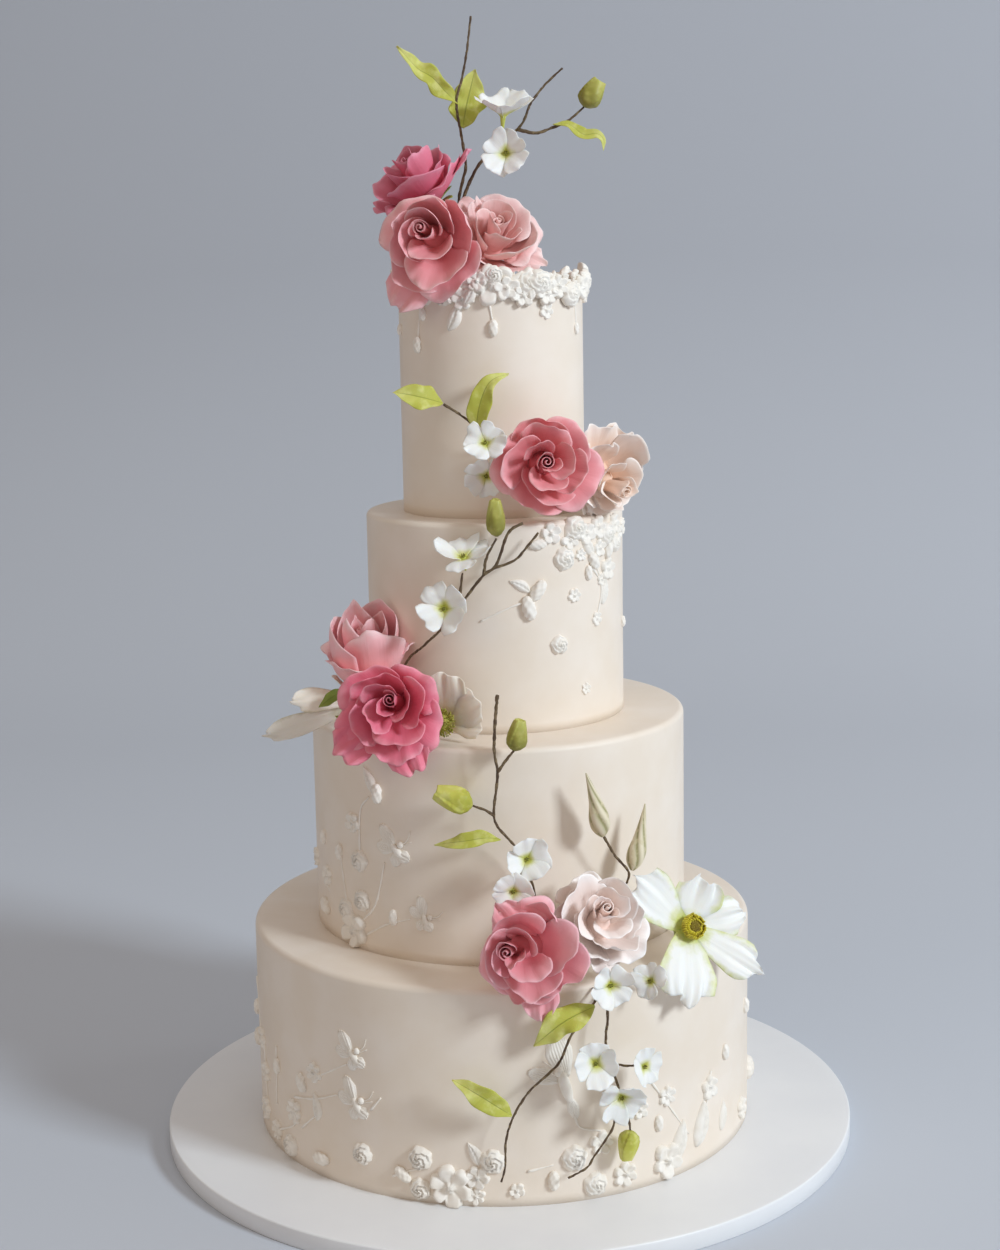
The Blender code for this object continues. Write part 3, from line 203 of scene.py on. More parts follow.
def capped(rings, tone=0.5):
    """A closed solid from rings of points, each joined to the next, the first and last ring filled."""
    rows, cols = rings.shape[:2]
    ends = np.array([np.arange(cols)[::-1], (rows - 1) * cols + np.arange(cols)])
    tone = np.broadcast_to(tone, (rows, cols)).reshape(-1)
    return shape(rings, [cells(rows, cols, True), ends], grid_uv(rows, cols, True), tone)


def tube(path, radii, sides=8, tone=0.5):
    """A capped tube: circles of the given radii square to a path, turned from one steady direction."""
    path = np.asarray(path, float)
    tangent = np.gradient(path, axis=0)
    tangent /= np.linalg.norm(tangent, axis=1, keepdims=True)
    side = np.cross(tangent, [0.12, 0.98, 0.17])
    side /= np.maximum(np.linalg.norm(side, axis=1, keepdims=True), 1e-6)
    other = np.cross(tangent, side)
    turn = np.arange(sides) * 2 * math.pi / sides
    radii = np.broadcast_to(radii, (len(path),))[:, None, None]
    circle = side[:, None] * np.cos(turn)[None, :, None] + other[:, None] * np.sin(turn)[None, :, None]
    return capped(path[:, None] + radii * circle, tone)


def turned(profile, sides, lumps=0.0, lobes=5, tone=0.5):
    """(radius, height) pairs turned about +Z, each circle swelled by a few lobes."""
    profile = np.asarray(profile, float)
    turn = np.arange(sides) * 2 * math.pi / sides
    swell = 1 + lumps * np.cos(lobes * turn)
    ring = np.stack([np.sin(turn) * swell, -np.cos(turn) * swell], -1)[None] * profile[:, None, :1]
    return capped(
        np.concatenate([ring, np.broadcast_to(profile[:, None, 1:], (*ring.shape[:2], 1))], -1), tone
    )


def moved(part, frame_rows, place):
    """A part carried from its own frame to the world."""
    return {**part, "points": part["points"] @ frame_rows + np.asarray(place, float)}


def copies(part, frames, places, tone):
    """One small part repeated with many frames and places, and one tone for each copy."""
    count, size = len(places), len(part["points"])
    points = np.einsum("pk,nkj->npj", part["points"], frames) + np.asarray(places)[:, None]
    shift = (np.arange(count) * size)[:, None, None]
    faces = [(group[None] + shift).reshape(-1, group.shape[1]) for group in part["faces"]]
    tones = np.repeat(np.broadcast_to(tone, (count,)), size)
    return {
        "points": points.reshape(-1, 3), "faces": faces,
        "uv": np.tile(part["uv"], (count, 1)), "tone": tones
    }


def piece(name, parts, material, nodes):
    """One object of several closed parts, at the origin and in metres, its quads
    smooth and its other faces flat, riding on the cake and standing for its nodes."""
    starts = np.cumsum([0] + [len(p["points"]) for p in parts])
    points = np.concatenate([p["points"] for p in parts]) * MM
    groups = [group + start for p, start in zip(parts, starts) for group in p["faces"]]
    corners = np.concatenate([group.reshape(-1) for group in groups]).astype(np.int32)
    sizes = np.concatenate([np.full(len(group), group.shape[1]) for group in groups])
    mesh = bpy.data.meshes.new(name)
    mesh.vertices.add(len(points))
    mesh.vertices.foreach_set("co", points.astype(np.float32).ravel())
    mesh.loops.add(len(corners))
    mesh.loops.foreach_set("vertex_index", corners)
    mesh.polygons.add(len(sizes))
    mesh.polygons.foreach_set("loop_start", (np.cumsum(sizes) - sizes).astype(np.int32))
    mesh.update(calc_edges=True)
    mesh.polygons.foreach_set("use_smooth", (sizes == 4).astype(bool))
    uv = np.concatenate([p["uv"] for p in parts])[corners]
    mesh.uv_layers.new(name="UVMap").data.foreach_set("uv", uv.astype(np.float32).ravel())
    tone = mesh.attributes.new("tone", "FLOAT", "POINT")
    tone.data.foreach_set("value", np.concatenate([p["tone"] for p in parts]).astype(np.float32))
    mesh.materials.append(material)
    made = bpy.data.objects.new(name, mesh)
    bpy.context.scene.collection.objects.link(made)
    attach(made, "root")
    if nodes:
        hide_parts(*nodes)


# Materials


def tint(code):
    """Linear colour of an sRGB hex code."""
    share = np.array([int(code[i : i + 2], 16) for i in (1, 3, 5)]) / 255
    linear = np.where(share <= 0.04045, share / 12.92, ((share + 0.055) / 1.055) ** 2.4)
    return (*linear.tolist(), 1.0)


def per_mm(size):
    """Texture scale that gives features about this many millimetres across on metre coordinates."""
    return 1.0 / (size * MM)


def add(tree, kind, inputs=None, stops=None, **settings):
    """A node with its settings and its inputs, each a value
    or a node to link from; stops are a ramp's colours."""
    made = tree.nodes.new(kind)
    for name, value in settings.items():
        setattr(made, name, value)
    for socket, value in (inputs or {}).items():
        if isinstance(value, bpy.types.Node):
            value = next(o for o in value.outputs if o.enabled)
        if isinstance(value, bpy.types.NodeSocket):
            tree.links.new(value, made.inputs[socket])
        else:
            made.inputs[socket].default_value = value
    if stops:
        ramp = made.color_ramp
        for place, code in stops[2:]:
            ramp.elements.new(place)
        for element, (place, code) in zip(
            sorted(ramp.elements, key=lambda e: e.position), sorted(stops)
        ):
            element.position = place
            element.color = tint(code)
    return made


def new_material(name):
    """A node material with no nodes yet, and its tree."""
    made = bpy.data.materials.new(name)
    made.use_nodes = True
    made.node_tree.nodes.clear()
    return made, made.node_tree


def sugar(name, body, shade, roughness=0.55, coat=0.0, grain=0.35, waves=34.0, depth=0.12):
    """Rolled or moulded sugar paste: body colour with faint cloudy patches in the
    shade colour, a fine powdery grain and broad smoothing marks in the bump."""
    made, tree = new_material(name)
    place = add(tree, "ShaderNodeTexCoord").outputs["Object"]
    cloud = add(tree, "ShaderNodeTexNoise", {"Vector": place, "Scale": per_mm(waves), "Detail": 3.0})
    spread = add(tree, "ShaderNodeMapRange", {0: cloud, 1: 0.35, 2: 0.65, 3: 0.0, 4: 1.0})
    paint = add(tree, "ShaderNodeMix", {0: spread, 6: tint(body), 7: tint(shade)}, data_type="RGBA")
    marks = add(
        tree, "ShaderNodeTexNoise", {"Vector": place, "Scale": per_mm(grain * 12), "Detail": 4.0}
    )
    first = add(tree, "ShaderNodeBump", {"Height": marks, "Strength": 0.25, "Distance": depth * MM})
    fine = add(tree, "ShaderNodeTexNoise", {"Vector": place, "Scale": per_mm(grain), "Detail": 2.0})
    bump = add(
        tree, "ShaderNodeBump",
        {"Height": fine, "Strength": 0.2, "Distance": 0.05 * MM, "Normal": first}
    )
    dull = add(
        tree, "ShaderNodeMapRange", {0: marks, 1: 0.3, 2: 0.7, 3: roughness - 0.05, 4: roughness + 0.06}
    )
    shader = add(
        tree,
        "ShaderNodeBsdfPrincipled",
        {
            "Base Color": paint,
            "Roughness": dull,
            "Normal": bump,
            "IOR": 1.45,
            "Coat Weight": coat,
            "Coat Roughness": 0.3,
        },
    )
    add(tree, "ShaderNodeOutputMaterial", {"Surface": shader})
    return made


def petal_paste(name, deep, body, light, rim, glow=0.12):
    """Hand-rolled petal paste: deep at the petal's foot, body, light and a paler thin rim,
    softly blotched, with fine veins that run from foot to rim in the bump. The run from
    deep to light is partly powder colour and partly painted shade and light, darkest at
    the foot deep in the flower. A low tone mixes in more of the deep colour as painted
    shade on the inner petals. Glow is the share of light let through."""
    veins, blotch, roughness = 26.0, 0.5, 0.62
    made, tree = new_material(name)
    place = add(tree, "ShaderNodeTexCoord").outputs["Object"]
    uv = add(tree, "ShaderNodeUVMap", uv_map="UVMap")
    split = add(tree, "ShaderNodeSeparateXYZ", {0: uv})
    tone = add(tree, "ShaderNodeAttribute", attribute_name="tone").outputs["Fac"]
    cloud = add(tree, "ShaderNodeTexNoise", {"Vector": place, "Scale": per_mm(9.0), "Detail": 4.0})
    sway = add(tree, "ShaderNodeMath", {0: cloud, 1: 0.5}, operation="SUBTRACT")
    along = add(
        tree, "ShaderNodeMath", {0: sway, 1: blotch, 2: split.outputs["Y"]}, operation="MULTIPLY_ADD"
    )
    # Painted shade and light along the petal, partly powder colour: deep at the foot, light towards the
    # rim.
    run = add(
        tree,
        "ShaderNodeValToRGB",
        {0: along},
        stops=[(0.0, deep), (1.0, rim), (0.33, body), (0.84, light)],
    )
    # Painted shade: a low tone, given to a rose's heart and inner rings, mixes in up to half of the
    # deep colour.
    inner = add(tree, "ShaderNodeMapRange", {0: tone, 1: 0.0, 2: 0.55, 3: 0.5, 4: 0.0})
    paint = add(tree, "ShaderNodeMix", {0: inner, 6: run, 7: tint(deep)}, data_type="RGBA")
    edge = add(tree, "ShaderNodeMapRange", {0: along, 1: 0.92, 2: 1.1, 3: 0.0, 4: 0.25})
    rimmed = add(tree, "ShaderNodeMix", {0: edge, 6: paint, 7: tint(rim)}, data_type="RGBA")
    stretch = add(tree, "ShaderNodeMapping", {"Vector": uv, "Scale": (veins, 1.6, 1.0)})
    lines = add(
        tree, "ShaderNodeTexNoise", {"Vector": stretch, "Scale": 1.0, "Detail": 3.0, "Distortion": 0.6}
    )
    first = add(tree, "ShaderNodeBump", {"Height": lines, "Strength": 0.5, "Distance": 0.35 * MM})
    fine = add(tree, "ShaderNodeTexNoise", {"Vector": place, "Scale": per_mm(1.1), "Detail": 3.0})
    bump = add(
        tree, "ShaderNodeBump",
        {"Height": fine, "Strength": 0.25, "Distance": 0.12 * MM, "Normal": first}
    )
    shader = add(
        tree,
        "ShaderNodeBsdfPrincipled",
        {
            "Base Color": rimmed,
            "Roughness": roughness,
            "Normal": bump,
            "IOR": 1.45,
            "Subsurface Weight": glow,
            "Subsurface Radius": (1.0, 0.85, 0.8),
            "Subsurface Scale": 0.8 * MM,
            "Sheen Weight": 0.04,
            "Sheen Roughness": 0.5,
        },
    )
    add(tree, "ShaderNodeOutputMaterial", {"Surface": shader})
    return made


def flower_paste(name, heart, body, rim, heart_ends=0.42, edge_from=0.8, veins=9.0, vein_depth=0.3):
    """White petal paste with a dusted heart: heart colour at the petal's foot, body, and
    an edge tint towards both sides and the tip, with raised veins along the petal."""
    made, tree = new_material(name)
    place = add(tree, "ShaderNodeTexCoord").outputs["Object"]
    uv = add(tree, "ShaderNodeUVMap", uv_map="UVMap")
    split = add(tree, "ShaderNodeSeparateXYZ", {0: uv})
    cloud = add(tree, "ShaderNodeTexNoise", {"Vector": place, "Scale": per_mm(5.0), "Detail": 3.0})
    sway = add(tree, "ShaderNodeMath", {0: cloud, 1: 0.5}, operation="SUBTRACT")
    along = add(
        tree, "ShaderNodeMath", {0: sway, 1: 0.25, 2: split.outputs["Y"]}, operation="MULTIPLY_ADD"
    )
    inner = add(
        tree, "ShaderNodeMapRange", {0: along, 1: 0.08, 2: heart_ends, 3: 1.0, 4: 0.0},
        interpolation_type="SMOOTHSTEP"
    )
    paint = add(tree, "ShaderNodeMix", {0: inner, 6: tint(body), 7: tint(heart)}, data_type="RGBA")
    across = add(tree, "ShaderNodeMath", {0: split.outputs["X"], 1: 0.5}, operation="SUBTRACT")
    off = add(tree, "ShaderNodeMath", {0: across}, operation="ABSOLUTE")
    double = add(tree, "ShaderNodeMath", {0: off, 1: 2.0}, operation="MULTIPLY")
    noise_shifted_mix = add(tree, "ShaderNodeMath", {0: sway, 1: 0.5, 2: double}, operation="MULTIPLY_ADD")
    edge = add(tree, "ShaderNodeMapRange", {0: noise_shifted_mix, 1: edge_from, 2: 1.05, 3: 0.0, 4: 0.8})
    edged = add(tree, "ShaderNodeMix", {0: edge, 6: paint, 7: tint(rim)}, data_type="RGBA")
    stretch = add(tree, "ShaderNodeMapping", {"Vector": uv, "Scale": (veins, 0.9, 1.0)})
    lines = add(
        tree, "ShaderNodeTexNoise", {"Vector": stretch, "Scale": 1.0, "Detail": 2.0, "Distortion": 0.3}
    )
    first = add(tree, "ShaderNodeBump", {"Height": lines, "Strength": 0.6, "Distance": vein_depth * MM})
    fine = add(tree, "ShaderNodeTexNoise", {"Vector": place, "Scale": per_mm(0.9), "Detail": 2.0})
    bump = add(
        tree, "ShaderNodeBump",
        {"Height": fine, "Strength": 0.2, "Distance": 0.08 * MM, "Normal": first}
    )
    shader = add(
        tree,
        "ShaderNodeBsdfPrincipled",
        {
            "Base Color": edged,
            "Roughness": 0.5,
            "Normal": bump,
            "IOR": 1.45,
            "Subsurface Weight": 0.3,
            "Subsurface Radius": (1.0, 0.8, 0.6),
            "Subsurface Scale": 1.5 * MM,
        },
    )
    add(tree, "ShaderNodeOutputMaterial", {"Surface": shader})
    return made


def leaf_paste(name, foot, body, tip, rib, patch, rib_width=0.035, side_veins=16.0):
    """Green-dusted leaf paste: foot, body and tip colours, a
    drawn midrib, patchy powder and side veins in the bump."""
    made, tree = new_material(name)
    place = add(tree, "ShaderNodeTexCoord").outputs["Object"]
    uv = add(tree, "ShaderNodeUVMap", uv_map="UVMap")
    split = add(tree, "ShaderNodeSeparateXYZ", {0: uv})
    cloud = add(tree, "ShaderNodeTexNoise", {"Vector": place, "Scale": per_mm(6.0), "Detail": 4.0})
    sway = add(tree, "ShaderNodeMath", {0: cloud, 1: 0.5}, operation="SUBTRACT")
    along = add(
        tree, "ShaderNodeMath", {0: sway, 1: 0.5, 2: split.outputs["Y"]}, operation="MULTIPLY_ADD"
    )
    run = add(tree, "ShaderNodeValToRGB", {0: along}, stops=[(0.0, foot), (1.0, tip), (0.45, body)])
    dust = add(tree, "ShaderNodeMapRange", {0: cloud, 1: 0.5, 2: 0.68, 3: 0.0, 4: 0.6})
    paint = add(tree, "ShaderNodeMix", {0: dust, 6: run, 7: tint(patch)}, data_type="RGBA")
    across = add(tree, "ShaderNodeMath", {0: split.outputs["X"], 1: 0.5}, operation="SUBTRACT")
    off = add(tree, "ShaderNodeMath", {0: across}, operation="ABSOLUTE")
    middle = add(tree, "ShaderNodeMapRange", {0: off, 1: 0.0, 2: rib_width, 3: 0.8, 4: 0.0})
    ribbed = add(tree, "ShaderNodeMix", {0: middle, 6: paint, 7: tint(rib)}, data_type="RGBA")
    slant = add(
        tree, "ShaderNodeMath", {0: off, 1: -1.3, 2: split.outputs["Y"]}, operation="MULTIPLY_ADD"
    )
    pulse = add(tree, "ShaderNodeMath", {0: slant, 1: side_veins * 2 * math.pi}, operation="MULTIPLY")
    wave = add(tree, "ShaderNodeMath", {0: pulse}, operation="SINE")
    first = add(tree, "ShaderNodeBump", {"Height": wave, "Strength": 0.3, "Distance": 0.25 * MM})
    bump = add(
        tree, "ShaderNodeBump",
        {"Height": middle, "Strength": 0.6, "Distance": 0.4 * MM, "Normal": first}
    )
    shader = add(
        tree,
        "ShaderNodeBsdfPrincipled",
        {
            "Base Color": ribbed,
            "Roughness": 0.5,
            "Normal": bump,
            "IOR": 1.45,
            "Subsurface Weight": 0.2,
            "Subsurface Radius": (0.6, 1.0, 0.3),
            "Subsurface Scale": 1.2 * MM,
        },
    )
    add(tree, "ShaderNodeOutputMaterial", {"Surface": shader})
    return made


def speckled(name, low, high, spot, size=1.4, roughness=0.7):
    """Powdered stamens or wound tape: two colours mixed by
    the tone of each small part, speckled with a third."""
    made, tree = new_material(name)
    place = add(tree, "ShaderNodeTexCoord").outputs["Object"]
    tone = add(tree, "ShaderNodeAttribute", attribute_name="tone").outputs["Fac"]
    paint = add(tree, "ShaderNodeMix", {0: tone, 6: tint(low), 7: tint(high)}, data_type="RGBA")
    cloud = add(tree, "ShaderNodeTexNoise", {"Vector": place, "Scale": per_mm(size), "Detail": 3.0})
    fleck = add(tree, "ShaderNodeMapRange", {0: cloud, 1: 0.52, 2: 0.62, 3: 0.0, 4: 0.7})
    mixed = add(tree, "ShaderNodeMix", {0: fleck, 6: paint, 7: tint(spot)}, data_type="RGBA")
    bump = add(tree, "ShaderNodeBump", {"Height": cloud, "Strength": 0.5, "Distance": 0.2 * MM})
    shader = add(
        tree,
        "ShaderNodeBsdfPrincipled",
        {"Base Color": mixed, "Roughness": roughness, "Normal": bump, "IOR": 1.45},
    )
    add(tree, "ShaderNodeOutputMaterial", {"Surface": shader})
    return made


# Rolled ivory fondant, polished with a smoother: an
# even satin skin, warmest where powder was rubbed off.
ICING = sugar("rolled_fondant", "#F1E5D7", "#EDDFCE", roughness=0.5, coat=0.06, depth=0.1)
# Moulded white flower paste: a shade whiter than the icing, dry and matt.
RELIEF_PASTE = sugar(
    "moulded_paste", "#F6F0E7", "#F1E9DD", roughness=0.58, grain=0.3, waves=9.0, depth=0.15
)
# Board iced in white and let dry: smooth, very slightly shiny.
BOARD_ICING = sugar(
    "board_icing", "#EEEEEE", "#EAEAEB", roughness=0.42, coat=0.12, waves=60.0, depth=0.06
)
# Petal paste, from foot to rim, for each rose: the deep first colour is partly painted shade, and the
# light third colour is partly painted light.
DARK_ROSE = petal_paste("petal_paste_dark_rose", "#A62E48", "#DC6680", "#E58298", "#EA9CB0")
PINK_ROSE = petal_paste("petal_paste_pink", "#CE666C", "#F29CA0", "#F4AEB2", "#F7C4C6")
LIGHT_ROSE = petal_paste("petal_paste_light", "#E79A90", "#F5BEB8", "#F8D0CC", "#FBE0DC")
CORAL_ROSE = petal_paste("petal_paste_coral", "#C45058", "#EF8C90", "#F2A2A6", "#F5B8BA")
PEACH_ROSE = petal_paste("petal_paste_peach", "#F4BC8E", "#FBE2D0", "#FDEDE2", "#FEF4EC", glow=0.04)
SHELL_ROSE = petal_paste("petal_paste_shell", "#E88A8E", "#F8B2B5", "#FABFC2", "#FCD2D4", glow=0.2)
DEEP_ROSE = petal_paste("petal_paste_deep", "#B83858", "#E56A80", "#EB8094", "#F09AA8")
ROSY_ROSE = petal_paste("petal_paste_rosy", "#CE626E", "#F29CA4", "#F3AEB4", "#F6C0C6")
BLUSH_ROSE = petal_paste("petal_paste_blush", "#FCD6C6", "#FFEFE6", "#FFF4EE", "#FFF9F5", glow=0.0)
# White petal paste: green-yellow dusted hearts, tissue-thin clean white petals.
WHITE_BLOSSOM = flower_paste("petal_paste_white", "#CFD058", "#F1F0EB", "#EDEBDF", heart_ends=0.46)
CLEMATIS = flower_paste(
    "petal_paste_veined_white", "#CDD262", "#F2F1EC", "#CDD272", 0.34, 0.7, veins=7.0, vein_depth=0.6
)
CREAM = flower_paste(
    "petal_paste_cream", "#D3B27A", "#F1E6D6", "#E2D3BA", 0.5, 0.75, veins=7.0, vein_depth=0.5
)
SHADED_CREAM = flower_paste(
    "petal_paste_shaded_cream", "#B8AE84", "#EDE4D6", "#B4AB8C", 0.35, 0.78, veins=8.0, vein_depth=0.6
)
# Leaf paste dusted in yellow-green powder over a drawn midrib.
LEAF = leaf_paste("leaf_paste", "#BDBE4E", "#C0C050", "#D6D47C", "#868A2C", "#DEDC8E")
BUD = leaf_paste(
    "olive_bud_paste", "#85803A", "#9A9540", "#C6C468",
    "#9A9540", "#B8B260", rib_width=0.001, side_veins=4.0
)
PALE_BUD = leaf_paste(
    "pale_bud_paste", "#ABAA40", "#C6C554", "#D4D276",
    "#C6C554", "#DCDA8A", rib_width=0.001, side_veins=4.0
)
SEPAL = leaf_paste("sepal_paste", "#5F6A22", "#76822E", "#98A248", "#55601E", "#8A9440")
# Long buds: cream ribs, darker green-brown in the grooves between them.
GROOVED_BUD = speckled("grooved_bud_paste", "#8F8A54", "#E8DCC0", "#D6C9A4", size=5.0, roughness=0.55)
# Stamens and throats: painted thread and pollen powder.
STAMENS = speckled("dusted_stamens", "#8A8420", "#C6C05A", "#6E6A1C")
THROAT = speckled("dusted_throat", "#6C6326", "#C4C860", "#A9AC48")
DISC = speckled("dusted_disc", "#7A6424", "#DCCE3C", "#A08C2A", size=2.6)
# Floral tape wound on wire: dull brown with lighter rubs.
TAPE = speckled("wound_tape", "#4E3B2C", "#6E5C42", "#8A7858", size=2.4)


# Board and tiers


def uneven(turn, height, seed):
    """A broad unevenness in millimetres: a few slow waves round and up the side."""
    rand = np.random.default_rng(seed)
    total = 0.0
    for lobes in (1, 2, 3, 5):
        a, b = rand.uniform(0, 6.3, 2)
        total = total + 0.09 * np.sin(lobes * turn + a) * np.cos(height / rand.uniform(25, 70) + b)
    return total


def board():
    """A disc turned about +Z whose top edge is a quarter circle and whose foot is slightly drawn in."""
    r, t, e = BOARD_RADIUS, BOARD_THICKNESS, BOARD_EDGE
    drawn_in, foot_rise = 0.5, 0.6
    bend = np.linspace(0, math.pi / 2, 7)
    profile = [(r - drawn_in, 0.0), (r, foot_rise), (r, t - e)]
    profile += [(r - e + e * math.cos(b), t - e + e * math.sin(b)) for b in bend[1:]]
    profile += [(share * r, t) for share in (0.96, 0.8, 0.6, 0.35, 0.1)]
    disc = turned(profile, 360)
    piece("board_drum", [disc], BOARD_ICING, ["cake_board"])


def drum(tier, seed):
    """A tier: side, quarter-circle top edge and top turned
    about the cake's axis, r and z moved by slow waves."""
    radius, tall, edge = TIER_SIZES[tier]
    sides, side_inset, top_inset = 320, 0.12, 0.15
    bend = np.linspace(0, math.pi / 2, 9)
    profile = [(radius, h) for h in np.linspace(-0.5, tall - edge, 22)]
    profile += [
        (radius - edge + edge * math.cos(b), tall - edge + edge * math.sin(b)) for b in bend[1:]
    ]
    profile += [(share * radius, tall) for share in (0.93, 0.86, 0.76, 0.6, 0.4, 0.2, 0.03)]
    profile = np.array(profile)
    turn = np.arange(sides) * 2 * math.pi / sides
    r, z = profile[:, :1], profile[:, 1:]
    wave = uneven(turn[None], z, seed)
    flat = np.clip((r - 0.3 * radius) / (0.7 * radius), 0, 1)
    reach = r + wave * flat - side_inset
    ripple = 0.6 * uneven(turn[None] * 2, r, seed + 9) * (1 - (z < tall - edge))
    lift = z + np.where(z > 1.0, -top_inset + ripple, 0.0)
    rings = np.stack(
        [STACK_X + reach * np.sin(turn), STACK_Y - reach * np.cos(turn), FEET[tier] + lift], -1
    )
    return capped(rings)


# Moulded relief


def on_side(part, tier, angle, height, spin):
    """A flat part turned by spin and bent round a tier's side:
    x becomes arc, y height and z distance off the side."""
    points = part["points"]
    radius, turn = TIER_SIZES[tier][0], math.radians(spin)
    x = points[:, 0] * math.cos(turn) - points[:, 1] * math.sin(turn)
    y = points[:, 0] * math.sin(turn) + points[:, 1] * math.cos(turn)
    angle_at = math.radians(angle) + x / radius
    off = radius + points[:, 2]
    up = np.maximum(height + y, 0.15)
    world = np.stack(
        [STACK_X + off * np.sin(angle_at), STACK_Y - off * np.cos(angle_at), FEET[tier] + up], -1
    )
    return {**part, "points": world}


def polar_mound(size, reach, rise, rings, sides):
    """A closed mound on polar rings: its outline is reach(turn)
    and its height rise(share, turn), and its foot is sunk."""
    share = np.linspace(0.05, 1.0, rings)[:, None]
    turn = (np.arange(sides) * 2 * math.pi / sides)[None]
    out = size * share * reach(turn)
    up = size * rise(share, turn)
    top = np.stack([out * np.cos(turn), out * np.sin(turn), up], -1)
    foot = top[-1:].copy()
    foot[..., 2] = -RELIEF_SINK
    return capped(np.concatenate([top, foot]), 0.5)


def moulded_blossom(size, seed):
    """Five or six cupped petals, each stepping over the next, round a small ball."""
    rand = np.random.default_rng(seed)
    lobes, phase = int(rand.integers(5, 7)), rand.uniform(0, 6)
    swell = rand.uniform(0.9, 1.1, lobes)

    def petal_at(turn):
        along = (turn + phase) * lobes / (2 * math.pi)
        return 2 * (along % 1.0) - 1, swell[np.floor(along).astype(int) % lobes]

    def along_ribs(turn):
        return (turn + phase) * lobes

    def reach(turn):
        p, big = petal_at(turn)
        return (
            (0.52 + 0.46 * np.sqrt(np.clip(1 - p**2 * 0.97, 0, 1)) + 0.03 * np.sin(4.5 * p + phase))
            * big
        )

    def rise(share, turn):
        p, _ = petal_at(turn)
        cup = np.interp(
            share, [0.0, 0.16, 0.24, 0.5, 0.82, 0.94, 1.0], [0.34, 0.30, 0.14, 0.20, 0.34, 0.30, 0.02]
        )
        crease = 1 - 0.6 * np.abs(p) ** 3 * np.clip((share - 0.15) * 4, 0, 1) + 0.2 * p * (share > 0.25)
        return cup * crease * (1 + 0.07 * np.sin(4 * along_ribs(turn)))

    return polar_mound(size, reach, rise, 10, lobes * 8)


def moulded_rosette(size, seed):
    """A small pressed rose: a dome whose height steps down a spiral of petals."""
    rand = np.random.default_rng(seed)
    phase = rand.uniform(0, 6)

    def reach(turn):
        return 0.88 + 0.12 * np.abs(np.sin(2.5 * turn + phase)) + 0.04 * np.sin(9 * turn)

    def rise(share, turn):
        spiral = (share * 2.6 + 3 * (turn + phase) / (2 * math.pi) + 0.06 * np.sin(7 * turn)) % 1.0
        dome = 0.55 * np.sqrt(np.clip(1.02 - share**2, 0, 1)) + 0.05
        return dome * (1 - 0.42 * spiral**1.5) * np.clip((1.0 - share) * 7 + 0.25, 0, 1)

    return polar_mound(size, reach, rise, 14, 40)


def moulded_bud(size, seed):
    """An egg of small knobs, like a berry."""
    rand = np.random.default_rng(seed)
    turn = (np.arange(30) * 2 * math.pi / 30)[None]
    share = np.linspace(0.04, 0.96, 20)[:, None] * math.pi
    knobs = 1 + 0.16 * np.sin(5 * turn + 2.2 * share + rand.uniform(0, 6)) * np.sin(6.5 * share + 1)
    r = size * 0.56 * np.sin(share) ** 0.8 * knobs
    rings = np.stack(
        [
            r * np.cos(turn), -size * 1.05 * np.cos(share) + 0 * turn,
            0.9 * r * np.sin(turn) + 0.12 * size
        ],
        -1
    )
    return capped(rings)


def moulded_leaf(size):
    """A pointed leaf with a groove down its middle and side veins, its edges sunk."""
    wide, bend = 0.5, 0.15
    t = np.linspace(0.02, 0.99, 17)[:, None]
    s = np.linspace(-1, 1, 11)[None]
    width = wide * size * np.sin(math.pi * t**0.8) ** 0.9
    veins = 0.05 * np.sin(2 * math.pi * (5.5 * t - 1.4 * np.abs(s)))
    up = (
        size * (0.26 * (1 - s**2) ** 0.7 - 0.13 * np.exp(-((s / 0.14) ** 2)) + veins * (1 - s**2))
        * np.sin(math.pi * t) ** 0.4
    )
    grid = np.stack(
        np.broadcast_arrays(s * width + bend * size * (t - t**2) * 4, 2.2 * size * (t - 0.5), up), -1
    )
    back = grid.copy()
    back[..., 2] = -RELIEF_SINK
    return slab(grid, back)


def wing(length, wide, lean, root, fan, height):
    """A ribbed fan from a root: ribs spread along it and its tip is scalloped."""
    t = np.linspace(0.03, 1.0, 12)[:, None]
    s = np.linspace(-1, 1, 4 * fan + 1)[None]
    width = (
        wide * np.sin(0.5 * math.pi * np.minimum(1, 0.12 + 1.1 * t))
        * (1 - 0.55 * np.clip(t - 0.72, 0, 1) * 2)
    )
    tip = 1 - 0.16 * s**2 - 0.03 * np.cos(fan * math.pi * s)
    ribs = 1 + 0.28 * np.cos(fan * math.pi * s)
    up = length * height * ribs * (1 - s**4) * (0.35 + 0.65 * np.sin(math.pi * np.clip(t, 0, 0.93)))
    x, y = s * width * length, t * tip * length
    turn = math.radians(lean)
    grid = np.stack(
        [
            x * math.cos(turn) - y * math.sin(turn) + root[0],
            x * math.sin(turn) + y * math.cos(turn) + root[1], up
        ],
        -1,
    )
    back = grid.copy()
    back[..., 2] = -RELIEF_SINK
    return slab(grid, back)


def oval(size, long, place, lean):
    """A smooth egg lying on the side of the tier, its length along its own Y."""
    sides = 20
    turn = (np.arange(sides) * 2 * math.pi / sides)[None]
    share = np.linspace(0.05, 0.95, 10)[:, None] * math.pi
    r = size * np.sin(share)
    part = capped(
        np.stack(
            [r * np.cos(turn), -long * np.cos(share) + 0 * turn, 0.85 * r * np.sin(turn) + 0.1 * size],
            -1
        )
    )
    c, s = math.cos(math.radians(lean)), math.sin(math.radians(lean))
    return moved(part, np.array([[c, s, 0], [-s, c, 0], [0, 0, 1]]), (*place, 0.25 * size))


def flat_stem(points, radius):
    """A thin raised line through flat points."""
    path = smooth_path([(x, y, 0.3) for x, y in points], 1.5)
    return tube(path, np.linspace(radius, 0.6 * radius, len(path)), 6)


